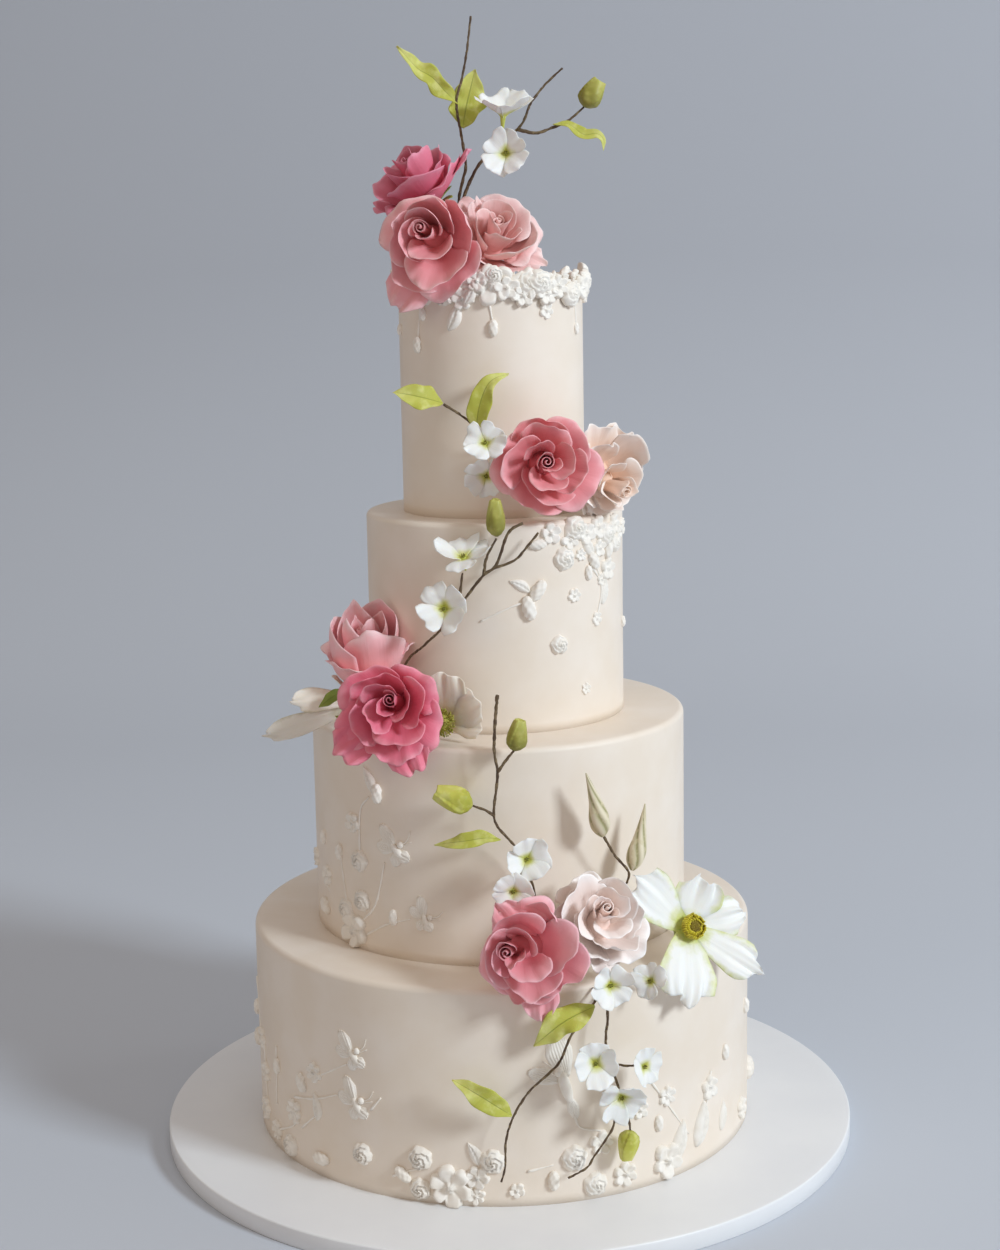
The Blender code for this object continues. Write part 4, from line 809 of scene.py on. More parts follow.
def winged(size, kind):
    """A small winged creature pressed in a mould: ribbed wings, a slim body and
    head, a fanned tail or two scalloped lower lobes, and a thin beak or feelers."""
    if kind == "bird":
        return [
            wing(1.5 * size, 0.30, 24, (0.15 * size, 0.2 * size), 9, 0.05),
            wing(1.15 * size, 0.26, 78, (0.0, 0.1 * size), 8, 0.05),
            oval(0.19 * size, 0.58 * size, (0.12 * size, -0.06 * size), 24),
            oval(0.14 * size, 0.17 * size, (-0.16 * size, 0.42 * size), 0),
            wing(0.8 * size, 0.26, 205, (0.3 * size, -0.4 * size), 6, 0.07),
            flat_stem([(-0.3 * size, 0.5 * size), (-0.7 * size, 0.72 * size)], 0.35),
        ]
    return [
        wing(1.15 * size, 0.30, 24, (0.02 * size, 0.08 * size), 6, 0.10),
        wing(0.85 * size, 0.40, 70, (-0.04 * size, 0.04 * size), 6, 0.10),
        wing(0.60 * size, 0.50, 168, (0.02 * size, -0.06 * size), 4, 0.16),
        wing(0.62 * size, 0.50, 232, (0.12 * size, -0.08 * size), 4, 0.17),
        oval(0.15 * size, 0.40 * size, (0.16 * size, -0.02 * size), 32),
        oval(0.14 * size, 0.15 * size, (0.36 * size, 0.24 * size), 0),
        flat_stem(
            [(0.4 * size, 0.2 * size), (0.75 * size, 0.42 * size), (0.95 * size, 0.75 * size)], 0.4
        ),
        flat_stem([(0.44 * size, 0.16 * size), (0.9 * size, 0.3 * size)], 0.35),
    ]


def motif(kind, size, seed):
    """The parts of one pressed motif, flat, with +Y up the tier and +Z out of it."""
    if kind == "leaf":
        return [moulded_leaf(size)]
    made = {"blossom": moulded_blossom, "rosette": moulded_rosette, "bud": moulded_bud}
    if kind in made:
        return [made[kind](size, seed)]
    return winged(size, kind)


def relief_stem(tier, places):
    """A thin raised line along the side of a tier, through (angle, height) places."""
    radius = 0.75
    path = smooth_path([around(tier, angle, height, 0.15) for angle, height in places], 2.0)
    wobble = 1 + 0.18 * np.sin(np.arange(len(path)) * 0.9)
    return tube(path, radius * wobble * np.linspace(1.1, 0.7, len(path)), 8)


# Relief by tier: kind, size in millimetres, angle, height, spin.
RELIEF = {
    "tier_1": [
        ("bud", 5.0, -83.0, 76.0, 10), ("blossom", 8.0, -74.0, 64.0, 0), ("bud", 5.0, -62.1, 57.0, 0),
        ("blossom", 8.0, -71.0, 44.0, 20), ("blossom", 9.0, -71.5, 18.0, 40),
        ("blossom", 8.0, -63.5, 12.0, 10), ("rosette", 8.5, -56.4, 9.0, 0),
        ("blossom", 9.0, -54.3, 34.1, 30), ("leaf", 8.5, -46.0, 44.8, 8), ("bud", 6.0, -50.8, 56.8, 20),
        ("blossom", 7.5, -46.2, 67.5, 20), ("insect", 14.0, -34.6, 86.0, 10),
        ("insect", 15.0, -34.2, 55.0, 0), ("bud", 6.5, -44.6, 11.6, 90),
        ("rosette", 8.0, -32.5, 23.9, 0), ("rosette", 9.0, -18.5, 28.2, 20),
        ("bud", 6.0, -22.5, 16.4, 50), ("rosette", 8.0, -18.6, 8.4, 45),
        ("blossom", 16.0, -12.0, 12.0, 18), ("blossom", 9.0, -6.3, 18.7, 35),
        ("leaf", 7.5, -6.9, 33.4, 25), ("rosette", 9.0, -2.9, 28.8, 10), ("blossom", 6.5, -6.4, 6.5, 0),
        ("blossom", 6.0, 2.1, 9.9, 20), ("bird", 19.0, 12.0, 76.0, -8), ("rosette", 9.5, 14.6, 27.9, 0),
        ("bud", 6.0, 10.0, 15.1, 0), ("blossom", 9.0, 20.7, 34.6, 10), ("rosette", 9.0, 19.2, 9.3, 25),
        ("blossom", 10.0, 26.3, 12.0, 0), ("blossom", 7.0, 30.0, 50.6, 0),
        ("blossom", 8.0, 37.3, 54.4, 15), ("bud", 5.0, 35.0, 38.6, 0), ("leaf", 14.0, 48.0, 27.1, -15),
        ("leaf", 13.0, 40.6, 22.0, -20), ("blossom", 9.5, 51.6, 48.4, 0), ("leaf", 9.0, 57.3, 22.8, -8),
        ("bud", 5.0, 58.6, 64.4, 0), ("blossom", 13.0, 37.2, 12.5, 30), ("bud", 5.0, 74.0, 80.0, 0),
        ("blossom", 9.0, 70.0, 14.0, 0), ("rosette", 9.0, 84.0, 26.0, 0),
        ("blossom", 13.0, 100.0, 13.5, 20), ("rosette", 9.0, 124.0, 11.0, 0),
        ("insect", 14.0, 152.0, 60.0, 0), ("blossom", 14.0, 166.0, 14.0, 0),
        ("rosette", 9.0, 192.0, 11.0, 0), ("blossom", 13.0, 222.0, 13.5, 0),
        ("rosette", 9.0, 250.0, 12.0, 0), ("bud", 6.0, 274.0, 52.0, 0),
    ],
    "tier_2": [
        ("leaf", 8.0, -41.6, 110.8, 25), ("bud", 6.0, -38.0, 103.2, 0),
        ("blossom", 7.5, -48.8, 80.6, 10), ("bud", 4.5, -68.0, 61.9, 0),
        ("blossom", 7.5, -80.0, 42.0, 0), ("bud", 5.0, -56.3, 58.2, 0),
        ("rosette", 8.0, -46.1, 57.2, 30), ("insect", 15.0, -32.3, 68.5, 12),
        ("blossom", 8.0, -65.5, 37.7, 0), ("bud", 6.5, -67.5, 16.5, 60),
        ("rosette", 8.0, -53.5, 22.3, 0), ("rosette", 8.0, -45.5, 31.5, 40),
        ("blossom", 14.0, -49.1, 10.0, 90), ("bud", 5.0, -33.3, 25.7, 0),
        ("insect", 12.0, -23.4, 27.5, -15), ("blossom", 8.0, -112.0, 34.0, 0),
        ("leaf", 9.0, -152.0, 40.0, 20), ("blossom", 12.0, -170.0, 13.0, 0),
        ("insect", 13.0, 136.0, 60.0, 0), ("blossom", 11.0, 112.0, 12.0, 0),
    ],
    "tier_3": [
        ("blossom", 8.5, 24.3, 123.0, 0), ("bud", 5.5, 18.3, 117.0, 90),
        ("blossom", 8.5, 43.0, 121.0, 20), ("blossom", 7.5, 34.0, 118.0, 50),
        ("rosette", 8.5, 30.8, 106.6, 0), ("blossom", 5.0, 39.5, 108.0, 0),
        ("bud", 6.0, 47.2, 103.0, 30), ("blossom", 8.5, 58.0, 96.0, 0), ("leaf", 8.0, 54.6, 82.5, -12),
        ("blossom", 5.5, 35.8, 82.9, 0), ("blossom", 5.5, 49.3, 66.0, 30),
        ("leaf", 7.0, 10.2, 91.5, 60), ("bud", 7.0, 18.0, 88.5, -35), ("bud", 7.5, 13.9, 78.0, 12),
        ("rosette", 7.0, 27.8, 53.4, 0), ("blossom", 4.5, 41.8, 23.0, 0), ("bud", 3.5, 79.0, 57.1, 0),
        ("blossom", 6.5, 78.0, 119.0, 0), ("blossom", 8.0, 104.0, 120.0, 0),
        ("rosette", 8.0, 128.0, 112.0, 0), ("blossom", 8.0, 168.0, 120.0, 0),
        ("blossom", 6.0, 196.0, 104.0, 0), ("rosette", 9.0, 36.5, 125.0, 0),
        ("blossom", 8.5, 50.5, 123.5, 30), ("rosette", 8.5, 57.0, 118.0, 0),
        ("blossom", 7.5, 64.5, 123.0, 0), ("leaf", 8.0, 43.5, 112.0, 40),
        ("blossom", 7.0, 51.5, 110.0, 10), ("bud", 5.5, 58.5, 108.0, -20),
        ("rosette", 7.0, 66.0, 111.0, 0), ("bud", 4.5, 44.0, 96.0, 0), ("blossom", 6.0, 71.0, 117.0, 0),
        ("blossom", 5.0, 53.0, 90.0, 0),
    ],
    "tier_4": [
        ("rosette", 6.5, -43.0, 136.0, 0), ("rosette", 6.5, -29.5, 135.5, 30),
        ("leaf", 10.0, -14.5, 142.0, 55), ("blossom", 15.0, 1.1, 143.0, 0), ("bud", 5.0, 1.2, 116.5, 0),
        ("rosette", 10.5, 23.5, 143.0, 0), ("blossom", 7.0, 36.0, 143.0, 10),
        ("blossom", 7.5, 50.5, 142.0, 30), ("blossom", 7.0, 64.5, 144.0, 0),
        ("blossom", 7.0, 79.0, 142.5, 15), ("blossom", 7.0, 92.0, 140.0, 40),
        ("blossom", 6.0, 35.5, 126.0, 0), ("leaf", 9.0, -23.0, 124.0, -22),
        ("bud", 4.0, -45.2, 125.0, 0), ("bud", 5.0, -50.6, 106.1, 0), ("bud", 3.5, -76.0, 114.5, 0),
        ("bud", 3.5, 64.3, 114.0, 0), ("rosette", 7.0, 107.0, 142.0, 0),
        ("blossom", 8.0, 123.0, 143.0, 0), ("blossom", 7.0, 139.0, 141.0, 20),
        ("rosette", 7.5, 154.0, 143.0, 0), ("blossom", 9.0, 171.0, 142.0, 0),
        ("blossom", 7.5, 203.0, 143.0, 30), ("blossom", 8.0, 219.0, 141.5, 0),
        ("blossom", 7.5, 252.0, 142.0, 0), ("blossom", 7.5, 268.0, 141.0, 20),
        ("rosette", 7.0, 284.0, 141.0, 0), ("blossom", 7.0, 301.0, 139.0, 0),
        ("bud", 4.5, 226.0, 116.0, 0),
    ],
}

# Raised stems by tier, each through (angle, height) places.
RELIEF_STEMS = {
    "tier_1": [
        [(-84.0, 96.0), (-76.0, 66.0)], [(-62.5, 70.0), (-63.5, 30.0)], [(-51.5, 26.0), (-46.5, 38.0)],
        [(-46.0, 64.0), (-36.0, 80.0)], [(-30.0, 54.0), (-27.4, 63.0)], [(-72.0, 62.0), (-71.0, 20.0)],
        [(-54.0, 44.0), (-46.0, 50.0), (-39.0, 58.0)], [(-62.0, 14.0), (-55.0, 24.0), (-52.0, 34.0)],
        [(-25.0, 14.0), (-17.0, 24.0)], [(14.5, 56.0), (16.0, 47.0), (21.0, 42.5)],
        [(4.5, 22.0), (10.0, 25.0)], [(33.0, 67.0), (37.3, 50.0), (44.1, 24.0)],
        [(52.3, 58.0), (50.4, 34.0)],
    ],
    "tier_2": [
        [(-53.0, 12.0), (-68.0, 32.0)], [(-52.0, 14.0), (-56.0, 56.0)],
        [(-48.5, 14.0), (-40.3, 30.6), (-36.0, 60.0)], [(-46.0, 50.0), (-45.5, 88.0), (-41.5, 100.0)],
        [(-44.0, 10.0), (-36.0, 20.0), (-27.5, 26.5)],
    ],
    "tier_3": [
        [(13.0, 82.0), (6.0, 79.0), (-6.9, 70.4)], [(44.0, 116.0), (52.0, 92.0)],
        [(46.0, 100.0), (53.0, 86.0), (50.0, 68.0)],
    ],
    "tier_4": [
        [(-1.4, 135.0), (1.0, 120.0)], [(-47.0, 134.0), (-50.6, 109.0)], [(62.5, 138.0), (64.3, 116.0)],
    ],
}


def garland(tier, seed):
    """Small moulded flowers that fill the rim between the
    listed ones, placed round the edge with a seeded spread."""
    rand = np.random.default_rng(seed)
    count, first, step = 68, -58, 5.1
    parts = []
    for number in range(count):
        angle = first + number * step + rand.uniform(-1.2, 1.2)
        under_roses = -60 < angle < -24
        if under_roses and number % 2:
            continue
        height = rand.uniform(134.0, 149.5 if angle < 105 or angle > 262 else 142.0)
        kind = ("blossom", "bud", "rosette", "blossom", "leaf")[number % 5]
        size = rand.uniform(5.6, 8.4) * (0.65 if kind == "bud" else 1.0)
        for part in motif(kind, size, 900 + number):
            part = {**part, "points": part["points"] + [0, 0, rand.uniform(0.5, 2.8)]}
            parts.append(on_side(part, tier, angle, height, rand.uniform(-70, 70)))
    return parts


def cake_tiers():
    """Each tier's icing drum, and the paste relief pressed on it as a piece of
    its own. Flowers are cut a little small, so that neighbours don't merge."""
    flower_share = 0.9
    for number, tier in enumerate(TIER_SIZES):
        piece(f"{tier}_icing", [drum(tier, 20 + number)], ICING, [tier])
        parts = []
        for index, (kind, size, angle, height, spin) in enumerate(RELIEF[tier]):
            small = flower_share * size if kind in ("blossom", "rosette") else size
            parts += [
                on_side(part, tier, angle, height, spin)
                for part in motif(kind, small, 100 * number + index)
            ]
        parts += [relief_stem(tier, places) for places in RELIEF_STEMS[tier]]
        if tier == "tier_4":
            parts += garland(tier, 5)
        piece(f"{tier}_relief", parts, RELIEF_PASTE, ())


# Petals of roses and open flowers


def petal(turn, length, half_width, leans, cup, start_out, start_up, ruffle, tip, size, rand=None):
    """Mid-surface of one petal in a flower's own frame, whose +Z is the way the flower looks.

    The middle line leaves the axis at start_out and leans away from it by the three angles
    at its foot, middle and tip. Points across it lie on an arc whose radius shrinks with
    the cup, and its rim waves by the ruffle. The size is the rows and columns of its grid.
    """
    rows, cols = size
    t = np.linspace(0, 1, 60)
    lean = np.radians(eased(t, [0, 0.5, 1], leans))
    step = length / (len(t) - 1)
    out = start_out + np.concatenate([[0], np.cumsum(np.sin(lean[1:]) * step)])
    up = start_up + np.concatenate([[0], np.cumsum(np.cos(lean[1:]) * step)])
    s = np.linspace(-1, 1, cols)[None]
    share = np.linspace(0, 1, rows)[:, None] * (1 - (0.04 + 0.3 * (1 - tip)) * np.abs(s) ** 2.2)
    radial, rise = np.interp(share, t, out), np.interp(share, t, up)
    width = half_width * eased(share, [0, 0.25, 0.65, 0.9, 1], [0.28, 0.62, 1.0, 0.9, max(tip, 0.3)])
    wrap = np.maximum(radial, 0.35 * half_width) / max(cup, 0.05)
    angle = np.clip(width * s / wrap, -1.9, 1.9)
    radial = radial - wrap * (1 - np.cos(angle))
    sideways = wrap * np.sin(angle)
    a, b = (0.0, 0.0) if rand is None else rand.uniform(0, 6.3, 2)
    wave = ruffle * share**3
    rise = rise + wave * (np.sin(2.5 * math.pi * s + turn + a) + 0.5 * np.sin(5.2 * math.pi * s + b))
    radial = radial + wave * np.cos(2.0 * math.pi * s + 1.7 * turn + b)
    turned_by = math.radians(turn)
    x = radial * math.cos(turned_by) - sideways * math.sin(turned_by)
    y = radial * math.sin(turned_by) + sideways * math.cos(turned_by)
    return np.stack([x, y, rise], axis=2)


def bowl_petal(rand, turn, half_turn, mid, rim, tuck, roll, ruffle, point, shift):
    """Mid-surface of a rose petal wrapped round +Z, in shares of the rose's radius.

    Its reach and height run along a quadratic curve through foot, mid and rim. Its
    rim rolls outwards and down, its right side stands outside the next petal by the
    tuck, a soft crease runs along it, and slow waves ruffle its rim. The shift moves
    what lies near the axis sideways, so a rose's heart can sit off its middle.
    """
    t = np.linspace(0, 1, ROSE_GRID[0])[:, None]
    s = np.linspace(-1, 1, ROSE_GRID[1])[None]
    a, b, c = rand.uniform(0, 6.3, 3)
    where, crease, tilt = rand.uniform(-0.5, 0.5), rand.uniform(-0.06, 0.07), rand.uniform(-0.07, 0.07)
    share = (
        t
        * (
            1 - 0.26 * np.abs(s) ** 3 + point * ((1 - np.abs(s)) ** 1.6 - 0.3)
            + 0.035 * np.sin(2.6 * s + a)
        )
    )
    foot, mid, rim = np.array([0.07, -0.33]), np.asarray(mid, float), np.asarray(rim, float)
    pull = 2 * mid - 0.5 * (foot + rim)
    reach = (1 - share) ** 2 * foot[0] + 2 * share * (1 - share) * pull[0] + share**2 * rim[0]
    height = (1 - share) ** 2 * foot[1] + 2 * share * (1 - share) * pull[1] + share**2 * rim[1]
    lip = np.clip((share - 0.70) / 0.30, 0, 1.3)
    side = (0.45 + 0.85 * np.abs(s) ** 1.4) * (1 + 0.55 * np.sin(1.8 * s + c))
    reach = reach + roll * side * (lip - 0.25 * lip**2)
    height = height - roll * side * 0.9 * lip**2 + tilt * s * np.clip(share, 0, 1)
    reach = (
        reach + tuck * s * np.clip(share * 1.4, 0, 1)
        + crease * np.exp(-(((s - where) / 0.3) ** 2)) * share
    )
    wave = ruffle * np.clip(share, 0, 1.15) ** 4
    height = height + wave * (np.sin(2.3 * math.pi * s + a) + 0.4 * np.sin(5.3 * math.pi * s + b))
    reach = reach + wave * (0.8 * np.sin(1.9 * math.pi * s + c) + 0.3 * np.sin(4.4 * math.pi * s + a))
    angle = turn + half_turn * s * (0.6 + 0.4 * np.clip(share * 2, 0, 1))
    near = np.clip(1 - np.abs(reach), 0, 1)
    x, y = reach * np.cos(angle) + shift[0] * near, reach * np.sin(angle) + shift[1] * near
    return np.stack([x, y, height], -1)


def heart(rand, openness, shift):
    """The tight middle of a rose: one strip wound on a spiral
    that widens as it goes, its top edge a little wavy."""
    rows, cols, turns = 12, 60, 1.9
    t = np.linspace(0, 1, rows)[:, None]
    s = np.linspace(0, 1, cols)[None]
    angle = 2 * math.pi * turns * s + rand.uniform(0, 6)
    reach = (0.02 + 0.12 * s) * (0.75 + 0.3 * np.sin(math.pi * t * 0.9) + 0.2 * t**3)
    top = 0.84 - 0.1 * openness - 0.06 * s + 0.03 * np.sin(9 * s)
    height = -0.3 + (top + 0.3) * t
    return np.stack(
        [reach * np.cos(angle) + shift[0], reach * np.sin(angle) + shift[1], height + 0 * s], -1
    )


def rose_rings(openness):
    """Rings of a rose from the inside out: petals, half turn, mid, rim, tuck, roll, ruffle and tone."""
    o = openness
    # The lower tones of the inner rings are painted shade inside the rose.
    return [
        (2, 1.50, (0.15, 0.36), (0.19 + 0.03 * o, 0.94 - 0.10 * o), 0.06, 0.05, 0.012, 0.25),
        (3, 1.15, (0.30, 0.20), (0.40 + 0.08 * o, 0.94 - 0.20 * o), 0.13, 0.10, 0.020, 0.4),
        (4, 0.98, (0.50, 0.02), (0.66 + 0.14 * o, 0.88 - 0.42 * o), 0.15, 0.13, 0.028, 0.6),
        (
            5, 0.88, (0.64, -0.10 + 0.2 * (1 - o)),
            (0.80 + 0.20 * o, 0.72 - 0.62 * o), 0.10, 0.14, 0.035, 0.85
        ),
    ]


# Rings, as rose_rings gives them, of a rose still closed:
# tall petals that lean in, and two that fall away.
CLOSED_RINGS = [
    (2, 1.60, (0.18, 0.36), (0.20, 0.98), 0.06, 0.05, 0.012, 0.3),
    (3, 1.25, (0.38, 0.26), (0.36, 1.04), 0.10, 0.07, 0.015, 0.5),
    (3, 1.25, (0.56, 0.20), (0.52, 1.00), 0.12, 0.14, 0.020, 0.75),
    (2, 1.05, (0.64, 0.04), (0.72, 0.66), 0.10, 0.22, 0.030, 0.9),
]
# Rings of a half-open rose with few broad petals that fold over at their rims.
FOLDED_RINGS = [
    (2, 1.60, (0.16, 0.36), (0.20, 0.92), 0.06, 0.05, 0.012, 0.3),
    (3, 1.30, (0.34, 0.22), (0.46, 0.88), 0.14, 0.12, 0.020, 0.45),
    (3, 1.20, (0.56, 0.06), (0.78, 0.66), 0.16, 0.20, 0.035, 0.7),
    (4, 0.98, (0.68, -0.06), (0.94, 0.34), 0.12, 0.26, 0.045, 0.9),
]


def rose(
    name, place, azimuth, elevation, radius, openness, seed, root, material, loose=(),
    shift=(0, 0), point=0.06, frill=1.0, rings=None,
):
    """A sugar rose on its wire: place is the foot of
    its heart and root is where the wire meets the cake.

    Loose petals that reach past the rings are given as turn, length, half
    width, leans, cup and tip share. The shift moves its heart off its
    middle, point draws out its petals' tips and frill scales their waves.
    """
    rand = np.random.default_rng(seed)
    frame_rows = facing_frame(azimuth, elevation)
    place = np.asarray(place, float)
    # Painted shade: the heart and its cone have a low tone, and each ring the tone of its table row,
    # which mixes in the paste's deep colour.
    parts = [sheet(heart(rand, openness, shift) * radius, 0.45, 0.1)]
    cone = turned([(0.10, -0.40), (0.34, -0.27), (0.26, -0.02), (0.10, 0.3), (0.04, 0.5)], 24, tone=0.1)
    cone["points"][:, :2] += np.asarray(shift) * np.clip(cone["points"][:, 2:] * 2 + 0.7, 0, 1)
    parts.append({**cone, "points": cone["points"] * radius})
    thick = thin_rim(ROSE_GRID, 0.8, 0.4)
    for count, half, mid, rim, tuck, roll, ruffle, tone in rings or rose_rings(openness):
        first = rand.uniform(0, 6.3)
        for number in range(count):
            turn = first + (number + rand.uniform(-0.16, 0.16)) * 2 * math.pi / count
            edge = (rim[0] * rand.uniform(0.9, 1.06), rim[1] + rand.uniform(-0.07, 0.07))
            grid = bowl_petal(
                rand, turn, half * rand.uniform(0.88, 1.12), mid, edge,
                tuck * rand.uniform(0.6, 1.3), roll * rand.uniform(0.3, 1.7),
                frill * ruffle * rand.uniform(0.6, 1.5), point * rand.uniform(0.3, 1.2), shift,
            )
            parts.append(sheet(grid * radius, thick, tone + rand.uniform(-0.1, 0.1)))
    for turn, length, half, leans, cup, tip in loose:
        ruffle = 0.1 * half * frill
        grid = petal(
            turn, length, half, leans, cup, 0.1 * radius, -0.2 * radius, ruffle, tip, LOOSE_GRID, rand
        )
        parts.append(sheet(grid, thin_rim(LOOSE_GRID, 0.8, 0.4), 0.85))
    piece(name + "_petals", [moved(part, frame_rows, place) for part in parts], material, [name])
    calyx(name, place, frame_rows, radius, root)


def calyx(name, place, frame_rows, radius, root):
    """The green cup, five narrow sepals and taped wire behind a rose."""
    cup = [(0.9, -0.46 * radius), (3.0, -0.43 * radius), (4.4, -0.38 * radius), (3.0, -0.34 * radius)]
    parts = [moved(turned(cup, 16), frame_rows, place)]
    for k in range(5):
        grid = petal(
            72 * k + 20, 0.5 * radius, 2.6, (74, 80, 100), 0.3, 2.5, -0.42 * radius, 0.2, 0.2, (10, 7)
        )
        parts.append(moved(sheet(grid, 0.5), frame_rows, place))
    piece(name + "_calyx", parts, SEPAL, ())
    back = place - frame_rows[2] * 0.36 * radius
    bend = (back + np.asarray(root)) / 2 - frame_rows[2] * 0.15 * radius
    path = smooth_path([back, bend, root], 3.0)
    piece(name + "_wire", [tube(path, ROSE_WIRE, 8)], TAPE, ())


def blossom(name, place, azimuth, elevation, radius, spin, tail, cup=0.25, seed=1):
    """A small blossom: four broad waved petals, a drawn-out
    green tube behind and a pinch of stamens in its throat."""
    rand = np.random.default_rng(seed)
    frame_rows = facing_frame(azimuth, elevation, spin)
    t = np.linspace(0.0, 1.0, BLOSSOM_GRID[0])[:, None]
    s = np.linspace(-1, 1, BLOSSOM_GRID[1])[None]
    parts = []
    for turn in (0, 90, 180, 270):
        reach = radius * rand.uniform(0.88, 1.08)
        wide = radius * rand.uniform(0.54, 0.68)
        a, b, notch = rand.uniform(0, 6.3, 3)
        share = (
            t
            * (
                1 - 0.17 * np.abs(s) ** 2.3
                - 0.06 * np.exp(-(((s - 0.15 * math.sin(notch)) / 0.2) ** 2))
            )
        )
        share = share * (1 + 0.04 * np.sin(4 * s + a))
        width = (
            wide * eased(share, [0, 0.12, 0.32, 0.6, 0.85, 1.0], [0.12, 0.22, 0.66, 1.0, 0.98, 0.74])
        )
        lean = cup + rand.uniform(-0.22, 0.34)
        lift = lean * radius * share**1.4 + rand.uniform(0.05, 0.26) * radius * s**2 * share
        lift = lift - rand.uniform(0.0, 0.16) * radius * np.clip(share - 0.6, 0, 1) ** 2 * 6
        lift = lift + 0.07 * radius * share**2 * (np.sin(3.3 * s + a) + 0.5 * np.sin(7.5 * s + b))
        lift = lift + 0.24 * radius * s * share * rand.uniform(-1, 1) - 0.22 * radius * (1 - share) ** 6
        x = reach * share * (1 - 0.12 * lean) + 0 * s
        y = width * s + 0.08 * radius * rand.uniform(-1, 1) * share**2
        angle = math.radians(turn + rand.uniform(-9, 9))
        grid = np.stack(
            [
                x * math.cos(angle) - y * math.sin(angle),
                x * math.sin(angle) + y * math.cos(angle), lift
            ],
            -1
        )
        parts.append(sheet(grid, thin_rim(BLOSSOM_GRID, 0.6, 0.3)))
    petals = [moved(part, frame_rows, place) for part in parts]
    piece(name + "_petals", petals, WHITE_BLOSSOM, [name])
    neck = turned(
        [
            (0.5, -tail), (0.95, -0.8 * tail), (1.3, -0.45 * tail),
            (0.12 * radius, -1.4), (0.08 * radius, -0.5)
        ],
        12, 0.06, 4
    )
    knob = turned([(0.2, -1.4), (0.42, 0.0), (0.25, 1.1)], 6)
    knobs = 5
    k = np.arange(knobs)
    places = np.stack([0.9 * np.cos(k * 1.26), 0.9 * np.sin(k * 1.26), 0.3 + 0 * k], -1)
    frames = np.repeat(np.eye(3)[None], knobs, 0)
    throat = [
        moved(neck, frame_rows, place), moved(copies(knob, frames, places, 0.0), frame_rows, place)
    ]
    throat[0]["tone"] = throat[0]["tone"] * 0 + 1.0
    piece(name + "_throat", throat, THROAT, ())


def leaf(
    name, path, half_width, normal, bow=3.0, wave=1.2,
    twist=0.0, material=LEAF, lobe=0.1, seed=1, peak=0.85
):
    """A thin wavy leaf along a path: bowed along its normal, folded along its midrib,
    waved and unevenly lobed at its edges and turned about its length by the twist."""
    rand = np.random.default_rng(seed)
    path = smooth_path(path, 0.5)
    rows, cols = 40, 17
    far = np.linspace(0, len(path) - 1, rows)
    middle = np.stack([np.interp(far, np.arange(len(path)), path[:, k]) for k in range(3)], -1)
    along = np.gradient(middle, axis=0)
    along /= np.linalg.norm(along, axis=1, keepdims=True)
    up = np.asarray(normal, float) - along * (along @ np.asarray(normal, float))[:, None]
    up /= np.linalg.norm(up, axis=1, keepdims=True)
    across = np.cross(along, up)
    t = np.linspace(0, 1, rows)[:, None]
    s = np.linspace(-1, 1, cols)[None]
    a, b, c = rand.uniform(0, 6.3, 3)
    edge = 1 + lobe * (np.sin(8 * t + a + 1.3 * np.sign(s)) + 0.6 * np.sin(17 * t + b - 2 * np.sign(s)))
    width = half_width * np.maximum(np.sin(math.pi * t**peak) ** 0.9, 0.05) * edge
    angle = np.radians(twist) * t
    lift = (
        bow * np.sin(math.pi * t) + 0.8 * wave * s * np.sin(2.6 * math.pi * t + c)
        + 0.24 * width * np.abs(s)
    )
    lift = (
        lift + 0.5 * wave * s**2 * np.sin(7.3 * t * math.pi + 2 * s) * np.sin(math.pi * t)
        + s * width * np.sin(angle)
    )
    side = s * width * np.cos(angle)
    grid = middle[:, None] + across[:, None] * side[..., None] + up[:, None] * lift[..., None]
    piece(
        name + "_blade", [sheet(grid, thin_rim((rows, cols), 0.7, 0.6))], material, [name]
    )


def bud_frame(base, tip):
    """Base and length of a bud, and its right, other and outward unit vectors as rows."""
    base, tip = np.asarray(base, float), np.asarray(tip, float)
    length = float(np.linalg.norm(tip - base))
    outward = (tip - base) / length
    right = np.cross([0.2, 0.9, 0.3], outward)
    right /= np.linalg.norm(right)
    frame_rows = np.array([right, np.cross(outward, right), outward])
    return base, length, frame_rows


def folded_bud(name, base, tip, radius, seed, material=BUD):
    """A bud of wrapped petals: an egg about its length whose skin steps in along three
    spiral folds, and whose waved rim stands round a small opening at its tip."""
    base, length, frame_rows = bud_frame(base, tip)
    h = np.linspace(0, 1, 36)[:, None]
    turn = (np.arange(60) * 2 * math.pi / 60)[None]
    a, b, c = np.random.default_rng(seed).uniform(0, 6, 3)
    fold = ((3 * turn + a - 2.6 * h) / (2 * math.pi)) % 1.0
    skin = np.interp(
        h, [0, 0.05, 0.18, 0.32, 0.5, 0.68, 0.8, 0.88, 0.94, 1.0],
        [0.14, 0.5, 0.92, 1.0, 0.94, 0.8, 0.68, 0.58, 0.36, 0.08]
    )
    rise = np.interp(h, [0, 0.88, 0.94, 1.0], [0.0, 1.0, 0.97, 0.84])
    reach = (
        radius * skin
        * (0.84 + 0.17 * (1 - 0.6 * h**2) * fold**1.3 + 0.03 * np.sin(5 * turn + 4 * h + b))
    )
    lip = np.clip((h - 0.55) * 3, 0, 1) * np.clip((0.97 - h) * 20, 0, 1)
    rise = length * (rise + lip * (0.02 * (fold - 0.5) + 0.012 * np.sin(2 * turn + c)))
    body = capped(np.stack([reach * np.cos(turn), reach * np.sin(turn), rise], -1))
    piece(name + "_folds", [moved(body, frame_rows, base)], material, [name])


